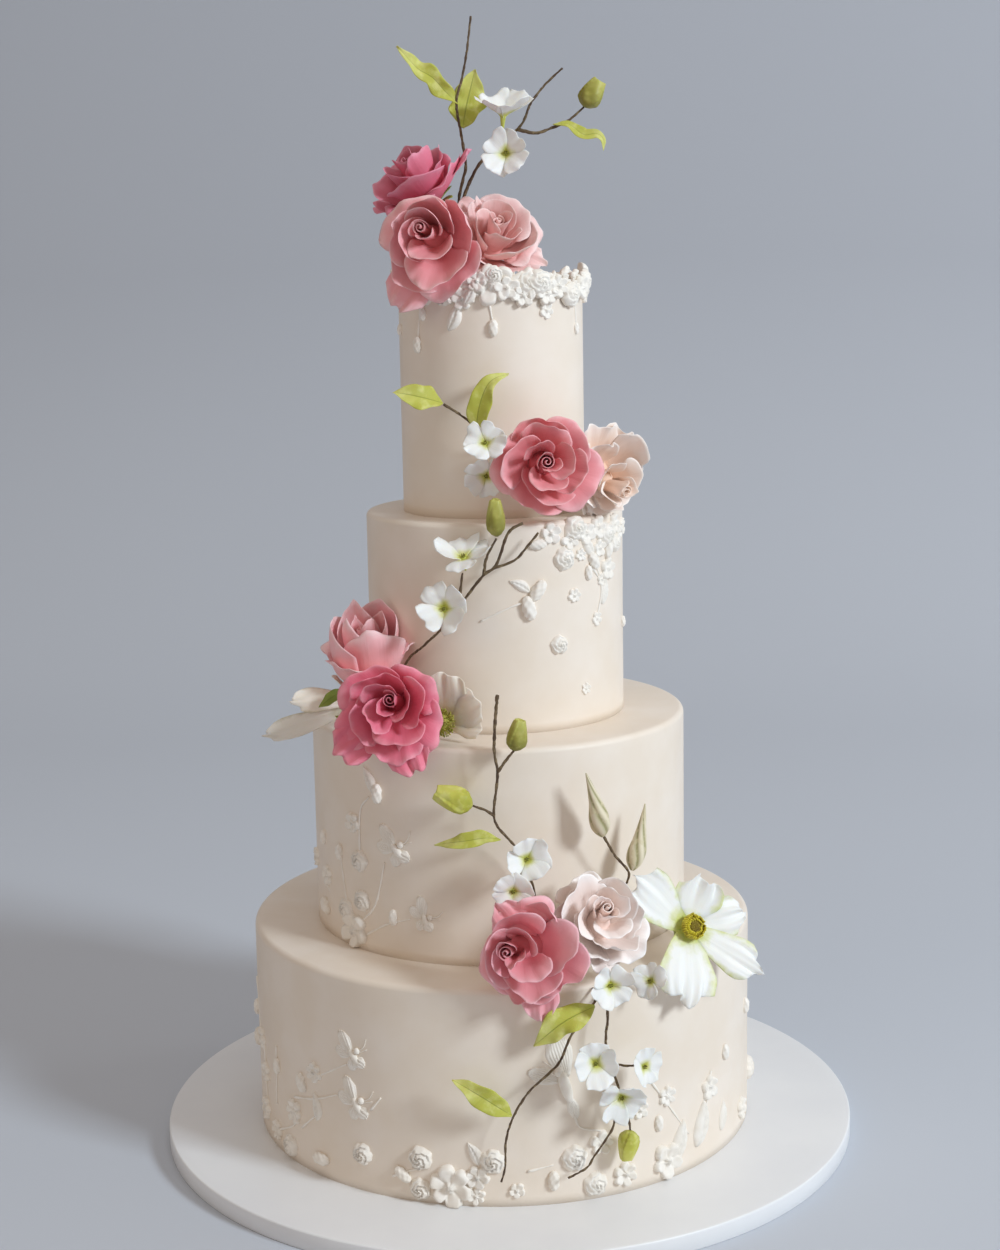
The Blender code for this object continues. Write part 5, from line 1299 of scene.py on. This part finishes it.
def twisted_bud(name, base, tip, radius, seed):
    """A long pointed bud: a spindle about its length with
    five rounded ribs that twist half a turn to its tip."""
    base, length, frame_rows = bud_frame(base, tip)
    h = np.linspace(0, 1, 44)[:, None]
    turn = (np.arange(50) * 2 * math.pi / 50)[None]
    rib = np.abs(np.sin(2.5 * (turn + 2.4 * h) + seed))
    skin = eased(h, [0, 0.06, 0.16, 0.3, 0.55, 0.8, 1.0], [0.2, 0.62, 0.95, 1.0, 0.62, 0.30, 0.07])
    reach = radius * skin * (0.84 + 0.18 * rib**0.5)
    bend = 0.9 * np.sin(math.pi * h)
    rings = np.stack([reach * np.cos(turn) + bend, reach * np.sin(turn), length * h + 0 * turn], -1)
    spindle = moved(capped(rings, np.broadcast_to(rib, reach.shape)), frame_rows, base)
    piece(name + "_ribs", [spindle], GROOVED_BUD, [name])


def twig(name, *runs, radius=0.85, seed=1):
    """Wire wound in brown tape: its runs as tubes whose
    radius swells a little at each lap of the tape."""
    rand = np.random.default_rng(seed)
    parts = []
    for run in runs:
        path = smooth_path(run, 1.6)
        path = path + rand.normal(0, 0.07, path.shape)
        n = np.arange(len(path))
        size = (
            np.linspace(radius, TWIG_TIP, len(path))
            * (1 + 0.10 * np.sin(n * 1.3) + 0.08 * rand.normal(size=len(path)))
        )
        parts.append(tube(path, size, 10, 0.35 + 0.3 * np.sin(0.35 * n)[:, None]))
    piece(name + "_tape", parts, TAPE, [name])


# Open flowers


def open_flower(
    name, place, azimuth, elevation, petals, root, material, hub=4.0, ruffle=0.08, seed=1,
    drop=False
):
    """A flower of separate long petals on a hub. Each petal is turn, length, half width,
    leans, cup and tip share, and its wire drops behind a ledge where drop is set."""
    rand = np.random.default_rng(seed)
    frame_rows = facing_frame(azimuth, elevation)
    place = np.asarray(place, float)
    parts = []
    for turn, length, half, leans, cup, tip in petals:
        grid = petal(
            turn, length, half, leans, cup, 0.4 * hub, -0.2 * hub, ruffle * half, tip, OPEN_GRID, rand
        )
        parts.append(moved(sheet(grid, thin_rim(OPEN_GRID, 0.9, 0.4)), frame_rows, place))
    piece(name + "_petals", parts, material, [name])
    green = [
        moved(
            turned([(0.5 * hub, -hub), (hub, -0.3 * hub), (0.8 * hub, 0.5 * hub)], 20),
            frame_rows, place
        )
    ]
    back = place - frame_rows[2] * (hub + 4)
    green.append(tube(smooth_path([place, back, back - [0, 0, 22 if drop else 2], root], 3.0), 1.2, 8))
    piece(name + "_hub", green, SEPAL, ())


def aimed(directions):
    """Frames whose +Z follows each direction."""
    z = directions / np.linalg.norm(directions, axis=1, keepdims=True)
    x = np.cross(np.array([0.31, 0.2, 0.93]), z)
    x /= np.linalg.norm(x, axis=1, keepdims=True)
    return np.stack([x, np.cross(z, x), z], axis=1)


def stamen_ball(name, place, azimuth, elevation, radius, depth):
    """A ball of painted threads: each a thin stalk with
    a knob, set on a dome by even golden-angle steps."""
    count, golden_angle, seed = 240, 2.399963, 3
    rand = np.random.default_rng(seed)
    frame_rows = facing_frame(azimuth, elevation)
    k = np.arange(count)
    height = 1 - 1.45 * (k + 0.5) / count
    turn = k * golden_angle + rand.normal(0, 0.1, count)
    flat = np.sqrt(np.clip(1 - height**2, 0, 1))
    way = np.stack([flat * np.cos(turn), flat * np.sin(turn), height], -1)
    way = way + rand.normal(0, 0.10, way.shape)
    thread = turned([(0.16, 0.0), (0.2, 0.62), (0.14, 0.84), (0.42, 0.9), (0.36, 1.06), (0.1, 1.1)], 5)
    size = np.array([1.0, 1.0, radius * 0.42])
    thread["points"] = thread["points"] * size
    places = way * [radius * 0.52, radius * 0.52, depth * 0.36] - [0, 0, 0.1 * depth]
    parts = [moved(copies(thread, aimed(way), places, rand.uniform(0, 1, count)), frame_rows, place)]
    core = turned([(0.4, -0.5), (0.62, -0.2), (0.66, 0.1), (0.5, 0.34), (0.2, 0.46)], 20, 0.04, 7)
    core["points"] = core["points"] * [radius, radius, depth]
    parts.append(moved(core, frame_rows, place))
    piece(name + "_threads", parts, STAMENS, [name])


def stamen_disc(name, place, azimuth, elevation, radius, depth):
    """A shallow bowl of flat stamens curling in over a
    darker seed bed, in three rings of different lean."""
    seed, seeds = 3, 40
    rand = np.random.default_rng(seed)
    frame_rows = facing_frame(azimuth, elevation)
    strap = turned([(0.55, 0.0), (0.8, 0.25), (0.85, 0.6), (0.6, 0.9), (0.2, 1.0)], 6)
    parts = []
    for count, out, lean, long, tone in (
        (34, 0.92, -14, 4.6, 0.9), (30, 0.76, -30, 4.6, 0.95), (22, 0.56, -48, 3.6, 0.8)
    ):
        turn = np.arange(count) * 2 * math.pi / count + rand.uniform(0, 1)
        tilt = np.radians(lean + rand.normal(0, 6, count))
        way = np.stack([np.sin(tilt) * np.cos(turn), np.sin(tilt) * np.sin(turn), np.cos(tilt)], -1)
        places = np.stack(
            [out * radius * np.cos(turn), out * radius * np.sin(turn), -0.35 * depth + 0 * turn], -1
        )
        body = {**strap, "points": strap["points"] * [0.9, 0.9, long]}
        parts.append(
            copies(body, aimed(way), places, np.clip(tone + rand.normal(0, 0.08, count), 0, 1))
        )
    k = np.arange(seeds)
    flat = 0.36 * radius * np.sqrt((k + 0.5) / seeds)
    places = np.stack([flat * np.cos(2.4 * k), flat * np.sin(2.4 * k), 0.42 * depth + 0 * k], -1)
    grain = turned([(0.3, -0.8), (0.55, 0.0), (0.3, 0.8)], 5)
    parts.append(
        copies(grain, np.repeat(np.eye(3)[None], seeds, 0), places, rand.uniform(0, 0.35, seeds))
    )
    bed = turned([(0.7, -0.5), (0.9, -0.2), (0.8, 0.1), (0.4, 0.34), (0.05, 0.4)], 30)
    bed["points"] = bed["points"] * [radius, radius, depth]
    bed["tone"] = bed["tone"] * 0.5
    parts.append(bed)
    piece(name + "_stamens", [moved(p, frame_rows, place) for p in parts], DISC, [name])


def build_top_group():
    """Three roses on the top tier and the tall spray above them."""
    rose(
        "rose_dark_top", (-43, -16, 617), -58, 52, 29.5, 0.55, 3, (-30, -8, LEDGE), DARK_ROSE,
        [(48, 38, 9, (70, 72, 66), 0.3, 0.5), (-150, 36, 13, (66, 74, 88), 0.3, 0.6)],
        point=0.05, frill=1.2, rings=FOLDED_RINGS,
    )
    rose(
        "rose_pink_top", (-35, -62, 582), -18, 8, 29.0, 0.7, 5, (-26, -30, LEDGE), PINK_ROSE,
        [(-124, 43, 15, (70, 78, 96), 0.3, 0.5)], shift=(-0.12, 0.3), point=0.1, frill=1.2,
        rings=FOLDED_RINGS,
    )
    rose(
        "rose_light_top", (-2, -14, 584), 16, 38, 28.5, 0.5, 8, (0, -8, LEDGE), LIGHT_ROSE,
        [(-32, 35, 11, (72, 74, 92), 0.3, 0.5), (112, 30, 9, (40, 44, 50), 0.4, 0.6)],
        point=0.08, frill=1.2, rings=FOLDED_RINGS,
    )
    twig(
        "twig_top",
        [(-14, 10, LEDGE), (-20, 10, 585), (-22, 9, 608), (-19, 6, 623), (-17, 4, 631), (-19, 0, 648)]
        + [(-22, -4, 669), (-18, -4, 685), (-15, -4, 700), (-12, -4, 721.5)],
        [
            (-21, 9, 606), (-14, 6, 623), (-5, 0, 636), (17, -8, 654),
            (24, -8, 668), (33, -8, 679), (44, -8, 689)
        ],
        [(16, -8, 652.5), (27, -10, 650), (37, -10, 653), (47, -10, 657), (57, -10, 665.2)],
        radius=1.15,
    )
    folded_bud("bud_top", (57.3, -10, 665.2), (67, -10, 681), 8.0, 1)
    leaf(
        "leaf_top_left",
        [(-21.5, -4, 669), (-28, -6, 676), (-36, -7, 685), (-46, -7, 691), (-58, -8, 704)],
        6.2, (0.1, -1, 0.25), bow=-1, wave=2.4, lobe=0.24, seed=3,
    )
    leaf(
        "leaf_top_broad", [(-18.5, -0.5, 654.5), (-10, 3, 690)],
        11.0, (0.15, -1, 0.1), bow=-4, wave=2.2, lobe=0.14, seed=2
    )
    leaf(
        "leaf_top_right",
        [
            (37.5, -12.6, 655), (47, -13, 654.5), (56.5, -13, 648),
            (64.5, -13, 648.5), (68.6, -13, 645), (68.7, -13, 638.5)
        ],
        3.8, (0, -1, 0.4), bow=1, wave=1.0, twist=20, lobe=0.1, seed=4, peak=1.0,
    )
    blossom("blossom_top_side", (7, -16.5, 662.5), 15, 74, 18.0, 15, 15.0, cup=0.62, seed=1)
    blossom("blossom_top_front", (8, -20, 638), -8, 10, 15.0, 45, 9.5, seed=2)


def build_upper_group():
    """Two roses on the third tier's ledge, the sprigs on
    the top tier and the long sprig down the third."""
    rose(
        "rose_coral", (29, -86, 451), 8, 6, 30.0, 0.9, 2, around("tier_4", 25, 30, WIRE_END),
        CORAL_ROSE, shift=(-0.1, 0.08), point=0.12, frill=1.3,
    )
    rose(
        "rose_peach", (62.5, -49, 446), 40, -8, 29.0, 0.8, 7, around("tier_4", 62, 22, WIRE_END),
        PEACH_ROSE, [(-100, 31, 11, (66, 72, 84), 0.3, 0.6)], shift=(0.2, -0.42),
        frill=1.6,
    )
    twig(
        "twig_upper_leaves",
        [
            (-32.5, -73.5, 488), (-22, -72, 481), (-13, -71, 473),
            (-9, -69, 466), around("tier_4", -3, 42, WIRE_END)
        ],
    )
    leaf(
        "leaf_upper_left", [(-33, -74, 488.5), (-50, -78, 493.5), (-63, -79, 496)],
        7.8, (0, -1, 0.5), bow=1, lobe=0.12, seed=5
    )
    leaf(
        "leaf_upper_right",
        [(-13, -75, 473), (-10.5, -76, 486), (-5.9, -76, 498), (-0.5, -73.5, 503), (7.2, -67.6, 505)],
        7.4, (-0.4, -1, 0.2), bow=1, wave=1.2, lobe=0.06, seed=6, peak=0.6,
    )
    blossom("blossom_upper_top", around("tier_4", -3.0, 50, 32), -8, 22, 13.6, 60, 10.0, seed=3)
    blossom("blossom_upper_low", around("tier_4", -3.5, 28, 17), -12, -4, 13.0, 20, 9.0, seed=4)
    twig(
        "twig_long",
        [around("tier_3", a, h, o) for a, h, o in (
            (10.5, 131.8, 11), (6.3, 128.6, 11), (3.9, 122.5, 10), (1.9, 112.6, 10), (-0.5, 105.2, 10),
            (-4.7, 100.3, 10), (-10.7, 88.4, 10), (-16.0, 77.5, 9), (-22.3, 65.7, 9), (-29.0, 56.1, 9),
            (-38.3, 42.6, 9), (-39.5, 20.0, 11), (-39.0, 0.9, 12),
        )],
        [around("tier_3", a, h, 10) for a, h in ((-4.5, 100.5), (-3.2, 111.5), (0.6, 123.0))],
        [
            around("tier_3", a, h, 10) for a,
            h in ((-0.8, 104.9), (7.1, 109.3), (11.9, 117.0), (16.5, 125.5))
        ],
        [around("tier_3", a, h, 10) for a, h in ((-13.8, 81.8), (-13.4, 91.0), (-12.4, 102.0))],
        radius=0.95, seed=2,
    )
    folded_bud("bud_upper", around("tier_3", 0.8, 124.4, 11), around("tier_3", 0.2, 147.0, 13), 6.3, 2)
    blossom(
        "blossom_long_side", around("tier_3", -11.5, 113.0, 14),
        -12, 60, 17.0, 10, 11.0, cup=0.22, seed=5
    )
    blossom("blossom_long_front", around("tier_3", -18.2, 81.3, 19), -14, 14, 16.5, 40, 7.4, seed=6)


def build_left_group():
    """Two roses at the left of the second tier's ledge,
    with the cream flowers and two sepals beside them."""
    rose(
        "rose_light_left", (-83, -63, 323), -24, 78, 35.0, 0.16, 11,
        around("tier_3", -52, 30, WIRE_END), SHELL_ROSE,
        [(-60, 36, 12, (50, 56, 78), 0.4, 0.5), (25, 34, 11, (40, 46, 66), 0.4, 0.6)], point=0.12,
        frill=1.2, rings=CLOSED_RINGS,
    )
    rose(
        "rose_deep_left", (-69, -118, 307), -8, 14, 28.5, 0.85, 4, around("tier_3", -38, 6, WIRE_END),
        DEEP_ROSE,
        [(-140, 38, 14, (72, 74, 92), 0.3, 0.6), (-62, 38, 14, (72, 74, 88), 0.3, 0.6)],
        shift=(0.16, 0.28), frill=1.5,
    )
    open_flower(
        "poppy", (-36, -100, 297.5), -14, 10,
        [
            (86, 30, 14.5, (80, 62, 74), 0.5, 0.8),
            (30, 27, 13.0, (84, 62, 76), 0.5, 0.8), (-4, 24, 9.0, (86, 70, 80), 0.5, 0.8)
        ],
        around("tier_3", -19, 3, 3), CREAM, hub=4.5, ruffle=0.06, seed=4,
    )
    open_flower(
        "cream_flower", (-92, -69, 304), -90, -12,
        [
            (-34, 61, 10.5, (20, 10, 0), 0.3, 0.4),
            (44, 41, 9.5, (34, 22, 8), 0.3, 0.4), (100, 20, 7.0, (66, 58, 52), 0.3, 0.6)
        ],
        around("tier_3", -54, 10, WIRE_END), SHADED_CREAM, hub=4.0, ruffle=0.16, seed=5,
    )
    leaf(
        "leaf_left_high", [(-97, -86, 316), (-113, -88, 305)], 3.6,
        (0, -1, 0.3), bow=1.5, wave=0.4, material=SEPAL
    )
    leaf(
        "leaf_left_low", [(-90, -86, 293), (-103, -90, 300)], 3.0,
        (0, -1, 0.3), bow=1.0, wave=0.4, material=SEPAL
    )


def build_second_tier_sprig():
    """The upright sprig on the front of the second tier."""
    twig(
        "twig_second",
        [around("tier_2", a, h, o) for a, h, o in (
            (-0.1, 172.2, 14), (-0.7, 158.0, 14), (-1.1, 138.1, 14),
            (-0.4, 124.0, 14), (-1.5, 102.0, 14), (-0.8, 92.9, 14), (2.4, 83.0, 13),
            (5.2, 74.6, 12), (6.6, 63.0, 10), (8.6, 52.0, 9), (9.6, 36.0, 0.6),
        )],
        [around("tier_2", a, h, 14) for a, h in ((-0.4, 125.4), (1.6, 132.0), (3.9, 138.6))],
        [around("tier_2", a, h, 14) for a, h in ((-1.4, 98.6), (-3.7, 102.3), (-6.8, 105.0))],
        [around("tier_2", a, h, o) for a, h, o in ((6.4, 64.0, 10), (4.4, 61.0, 14), (3.0, 59.2, 19))],
        radius=1.0,
        seed=3,
    )
    folded_bud(
        "bud_second_high", around("tier_2", 4.0, 138.2, 14), around("tier_2", 5.4, 157.0, 14), 6.6, 3
    )
    folded_bud(
        "bud_second_low", around("tier_2", -6.9, 104.8, 14.5),
        around("tier_2", -16.2, 113.0, 16), 8.6, 4, PALE_BUD
    )
    leaf(
        "leaf_second",
        [(-3, -137.4, 233.2), (-12, -139, 234.5), (-25, -138.5, 232.5), (-42.6, -131.5, 228.7)],
        4.8, (0, -1, 0.6), bow=1.5, wave=1.4, lobe=0.1, seed=7,
    )
    blossom("blossom_second_high", around("tier_2", 6.1, 74.6, 25), 10, 12, 14.5, 20, 10.0, seed=7)
    blossom("blossom_second_low", around("tier_2", 2.6, 57.5, 33), 0, -4, 13.0, 45, 12.5, seed=8)


def build_lower_group():
    """The rose pair, the open white flower, long buds and blossoms on the lowest ledge."""
    rose(
        "rose_pink_low", (17, -171, 174), -14, 8, 31.0, 0.75, 9, around("tier_2", 8, 14, WIRE_END),
        ROSY_ROSE,
        [(-84, 39, 12, (70, 76, 88), 0.3, 0.25), (128, 36, 11, (66, 70, 74), 0.3, 0.5)],
        shift=(-0.42, 0.1), point=0.2, frill=1.1,
    )
    rose(
        "rose_blush_low", (53, -148, 181), 14, 34, 29.5, 0.6, 6, around("tier_2", 26, 24, WIRE_END),
        BLUSH_ROSE, shift=(0.1, 0.2), frill=1.9,
    )
    open_flower(
        "open_white_flower", (112, -113, 168), 24, 22,
        [
            (136, 48, 17.0, (86, 70, 84), 0.4, 0.5), (64, 30, 17.0, (88, 70, 66), 0.4, 0.7),
            (6, 37, 13.0, (88, 74, 98), 0.3, 0.4), (-42, 51, 13.0, (80, 72, 92), 0.4, 0.3),
            (-112, 48, 20.0, (78, 64, 90), 0.4, 0.6),
        ],
        around("tier_2", 64, 6, WIRE_END), CLEMATIS,
        hub=5.0, ruffle=0.17, seed=6, drop=True,
    )
    stamen_disc(
        "flower_centre", np.array([112, -113, 168]) + facing_frame(24, 22)[2] * 6.4, 24, 22, 8.2, 4.0
    )
    stamen_ball(
        "poppy_centre", np.array([-36, -100, 297]) + facing_frame(-14, 10)[2] * 8.2, -14, 10, 9.0, 10.5
    )
    twig(
        "twig_long_buds",
        [around("tier_2", a, h, o) for a, h, o in (
            (26.6, 81.4, 18), (29.8, 68.5, 18), (34.2, 55.8, 17), (35.6, 44.0, 9), (36.0, 34.0, 0.6),
        )],
        seed=4,
    )
    twisted_bud(
        "long_bud_left", around("tier_2", 26.3, 81.8, 18), around("tier_2", 21.8, 122.3, 18), 6.4, 1
    )
    twisted_bud(
        "long_bud_right", around("tier_2", 34.9, 57.0, 18.2), around("tier_2", 39.4, 97.0, 18), 5.8, 2
    )
    blossom("blossom_low_front", (60, -177, 155), 12, 12, 13.0, 45, 8.0, seed=9)
    blossom("blossom_low_side", around("tier_1", 29.6, 137.5, 14), -34, 18, 11.5, 20, 8.0, seed=10)


def build_lower_sprigs():
    """The two sprigs that hang down the front of the lowest tier."""
    twig(
        "twig_low_left",
        [around("tier_1", a, h, o) for a, h, o in (
            (19.0, 134.0, 0.7), (18.4, 131.0, 10), (16.3, 123.9, 12),
            (13.0, 110.3, 12), (10.9, 96.0, 12), (8.4, 88.0, 12), (4.5, 77.2, 12),
            (1.5, 62.0, 12), (0.0, 47.0, 12), (-0.2, 31.3, 12), (-1.0, 21.0, 11),
        )],
        seed=5,
    )
    leaf(
        "leaf_low_high",
        [
            around("tier_1", 17.4, 129, 16),
            around("tier_1", 11, 121, 17), around("tier_1", 5.6, 107, 14)
        ],
        8.6, (0, -1, 0.4), bow=1.5, wave=2.2, lobe=0.12, seed=8,
    )
    leaf(
        "leaf_low_mid",
        [
            around("tier_1", 1.2, 63.8, 13.8),
            around("tier_1", -4.5, 77, 15), around("tier_1", -10.1, 86, 14)
        ],
        7.0, (0, -1, 0.3), bow=1, wave=1.6, lobe=0.13, seed=9,
    )
    twig(
        "twig_low_right",
        [around("tier_1", a, h, o) for a, h, o in (
            (21.2, 133.0, 0.7), (20.6, 129.5, 10), (20.3, 118.9, 14), (19.9, 109.6, 14),
            (20.1, 98.7, 14), (21.8, 81.5, 14), (22.9, 67.9, 14), (22.2, 57.1, 12), (21.3, 48.0, 12),
            (19.2, 39.5, 12), (17.3, 32.1, 12), (16.0, 25.8, 11), (12.2, 20.8, 11),
        )],
        [around("tier_1", a, h, 14) for a, h in ((20.1, 99.5), (18.4, 97.2), (17.2, 96.0))],
        [around("tier_1", a, h, 14) for a, h in ((20.9, 90.8), (23.9, 87.8), (26.4, 86.6))],
        [around("tier_1", a, h, 13) for a, h in ((22.9, 66.6), (24.6, 55.0), (25.1, 45.4))],
        seed=6,
    )
    folded_bud(
        "bud_low", around("tier_1", 25.1, 45.8, 13), around("tier_1", 24.1, 27.5, 13), 6.9, 5, PALE_BUD
    )
    blossom("blossom_hanging_left", around("tier_1", 16.8, 95.8, 22.5), 6, 10, 14.5, 10, 7.2, seed=11)
    blossom("blossom_hanging_right", around("tier_1", 26.6, 88.5, 22.5), 38, 12, 12.5, 0, 7.2, seed=12)
    blossom("blossom_hanging_low", around("tier_1", 21.9, 71.6, 22.5), 6, -14, 14.5, 60, 7.2, seed=13)


# Stage, light and camera


def backdrop():
    """A seamless sweep: flat floor, a quarter-circle bend
    and an upright wall, one profile carried along X."""
    bend = np.linspace(0, math.pi / 2, 17)
    deep, bow, half_wide, columns = 2.6, 1.5, 4.0, 9
    profile = [(-3.0, 0.0), (-1.0, 0.0), (0.0, 0.0)]
    profile += [(deep - bow + bow * math.sin(b), bow - bow * math.cos(b)) for b in bend]
    profile += [(deep, 2.0), (deep, 4.5)]
    x = np.linspace(-half_wide, half_wide, columns)
    grid = np.stack(
        np.broadcast_arrays(x[None], np.array(profile)[:, :1], np.array(profile)[:, 1:]), -1
    )
    mesh = bpy.data.meshes.new("sweep")
    mesh.from_pydata(
        grid.reshape(-1, 3).tolist(), [], cells(len(profile), columns, False)[:, ::-1].tolist()
    )
    mesh.polygons.foreach_set("use_smooth", np.ones(len(mesh.polygons), bool))
    material, tree = new_material("painted_sweep")
    place = add(tree, "ShaderNodeTexCoord").outputs["Object"]
    cloud = add(tree, "ShaderNodeTexNoise", {"Vector": place, "Scale": per_mm(900.0), "Detail": 2.0})
    split = add(tree, "ShaderNodeSeparateXYZ", {0: place})
    # Painted shade: the paint darkens from the floor up the wall, standing in for light falling off
    # with height, and a broad noise mottles it.
    high = add(tree, "ShaderNodeMapRange", {0: split.outputs["Z"], 1: 0.0, 2: 0.6, 3: 0.15, 4: 1.0})
    noise_shifted_mix = add(tree, "ShaderNodeMath", {0: cloud, 1: 0.15, 2: high}, operation="MULTIPLY_ADD")
    paint = add(
        tree, "ShaderNodeMix", {0: noise_shifted_mix, 6: tint("#CBD0D8"), 7: tint("#B3B7BF")}, data_type="RGBA"
    )
    shader = add(tree, "ShaderNodeBsdfPrincipled", {"Base Color": paint, "Roughness": 0.8})
    add(tree, "ShaderNodeOutputMaterial", {"Surface": shader})
    mesh.materials.append(material)
    made = bpy.data.objects.new("sweep", mesh)
    bpy.context.scene.collection.objects.link(made)


def softbox(name, place, aim, size, power, colour):
    """A studio softbox at a place, turned to face a point."""
    lamp = bpy.data.lights.new(name, "AREA")
    lamp.shape = "RECTANGLE"
    lamp.size, lamp.size_y = size
    lamp.energy = power
    lamp.color = colour
    made = bpy.data.objects.new(name, lamp)
    made.location = place
    made.rotation_euler = (Vector(aim) - Vector(place)).to_track_quat("-Z", "Y").to_euler()
    bpy.context.scene.collection.objects.link(made)


def studio():
    """A softbox from the right front, weak fills from the left
    and above, a wash on the wall, and a warm dim room."""
    azimuth, rise, far, middle = math.radians(53), math.radians(27), 4.5, 0.33
    key = (
        far * math.sin(azimuth) * math.cos(rise),
        -far * math.cos(azimuth) * math.cos(rise), middle + far * math.sin(rise)
    )
    softbox("key_softbox", key, (0, 0, middle), (0.85, 0.85), 144, (0.80, 0.905, 1.0))
    softbox("left_fill", (-2.2, -2.0, 1.4), (0, 0, 0.3), (1.6, 1.6), 8, (1.0, 0.86, 0.74))
    softbox("top_fill", (0.3, -0.3, 3.2), (0, 0, 0), (2.4, 2.4), 15, (0.96, 0.98, 1.0))
    softbox("wall_wash", (2.4, 0.6, 1.4), (1.2, 2.6, 0.6), (1.0, 1.0), 9, (0.9, 0.95, 1.0))
    world = bpy.data.worlds.new("room")
    world.use_nodes = True
    room = world.node_tree.nodes["Background"]
    room.inputs["Color"].default_value = (1.0, 0.885, 0.79, 1.0)
    room.inputs["Strength"].default_value = 0.33
    bpy.context.scene.world = world
    bpy.context.scene.view_settings.view_transform = "Standard"


def camera():
    """The photograph's viewpoint: 1.35 m in front, just
    above the top tier, tipped down and slightly rolled."""
    standpoint = (-0.0034, -1.3464, 0.5851)
    pitch, yaw, roll = math.radians(10.39), math.radians(0.118), math.radians(-1.02)
    forward = Vector(
        (math.sin(yaw) * math.cos(pitch), math.cos(yaw) * math.cos(pitch), -math.sin(pitch))
    )
    right = Vector((math.cos(yaw), -math.sin(yaw), 0.0))
    up = right.cross(forward)
    across = right * math.cos(roll) + up * math.sin(roll)
    above = up * math.cos(roll) - right * math.sin(roll)
    lens = bpy.data.cameras.new("camera")
    lens.lens, lens.sensor_width, lens.sensor_fit = 60.45, 36.0, "AUTO"
    lens.clip_start, lens.clip_end = 0.05, 20.0
    made = bpy.data.objects.new("camera", lens)
    turn = Matrix((across, above, -forward)).transposed().to_4x4()
    made.matrix_world = Matrix.Translation(standpoint) @ turn
    bpy.context.scene.collection.objects.link(made)
    bpy.context.scene.camera = made


board()
cake_tiers()
build_top_group()
build_upper_group()
build_left_group()
build_second_tier_sprig()
build_lower_group()
build_lower_sprigs()
backdrop()
studio()
camera()
bpy.context.view_layer.update()
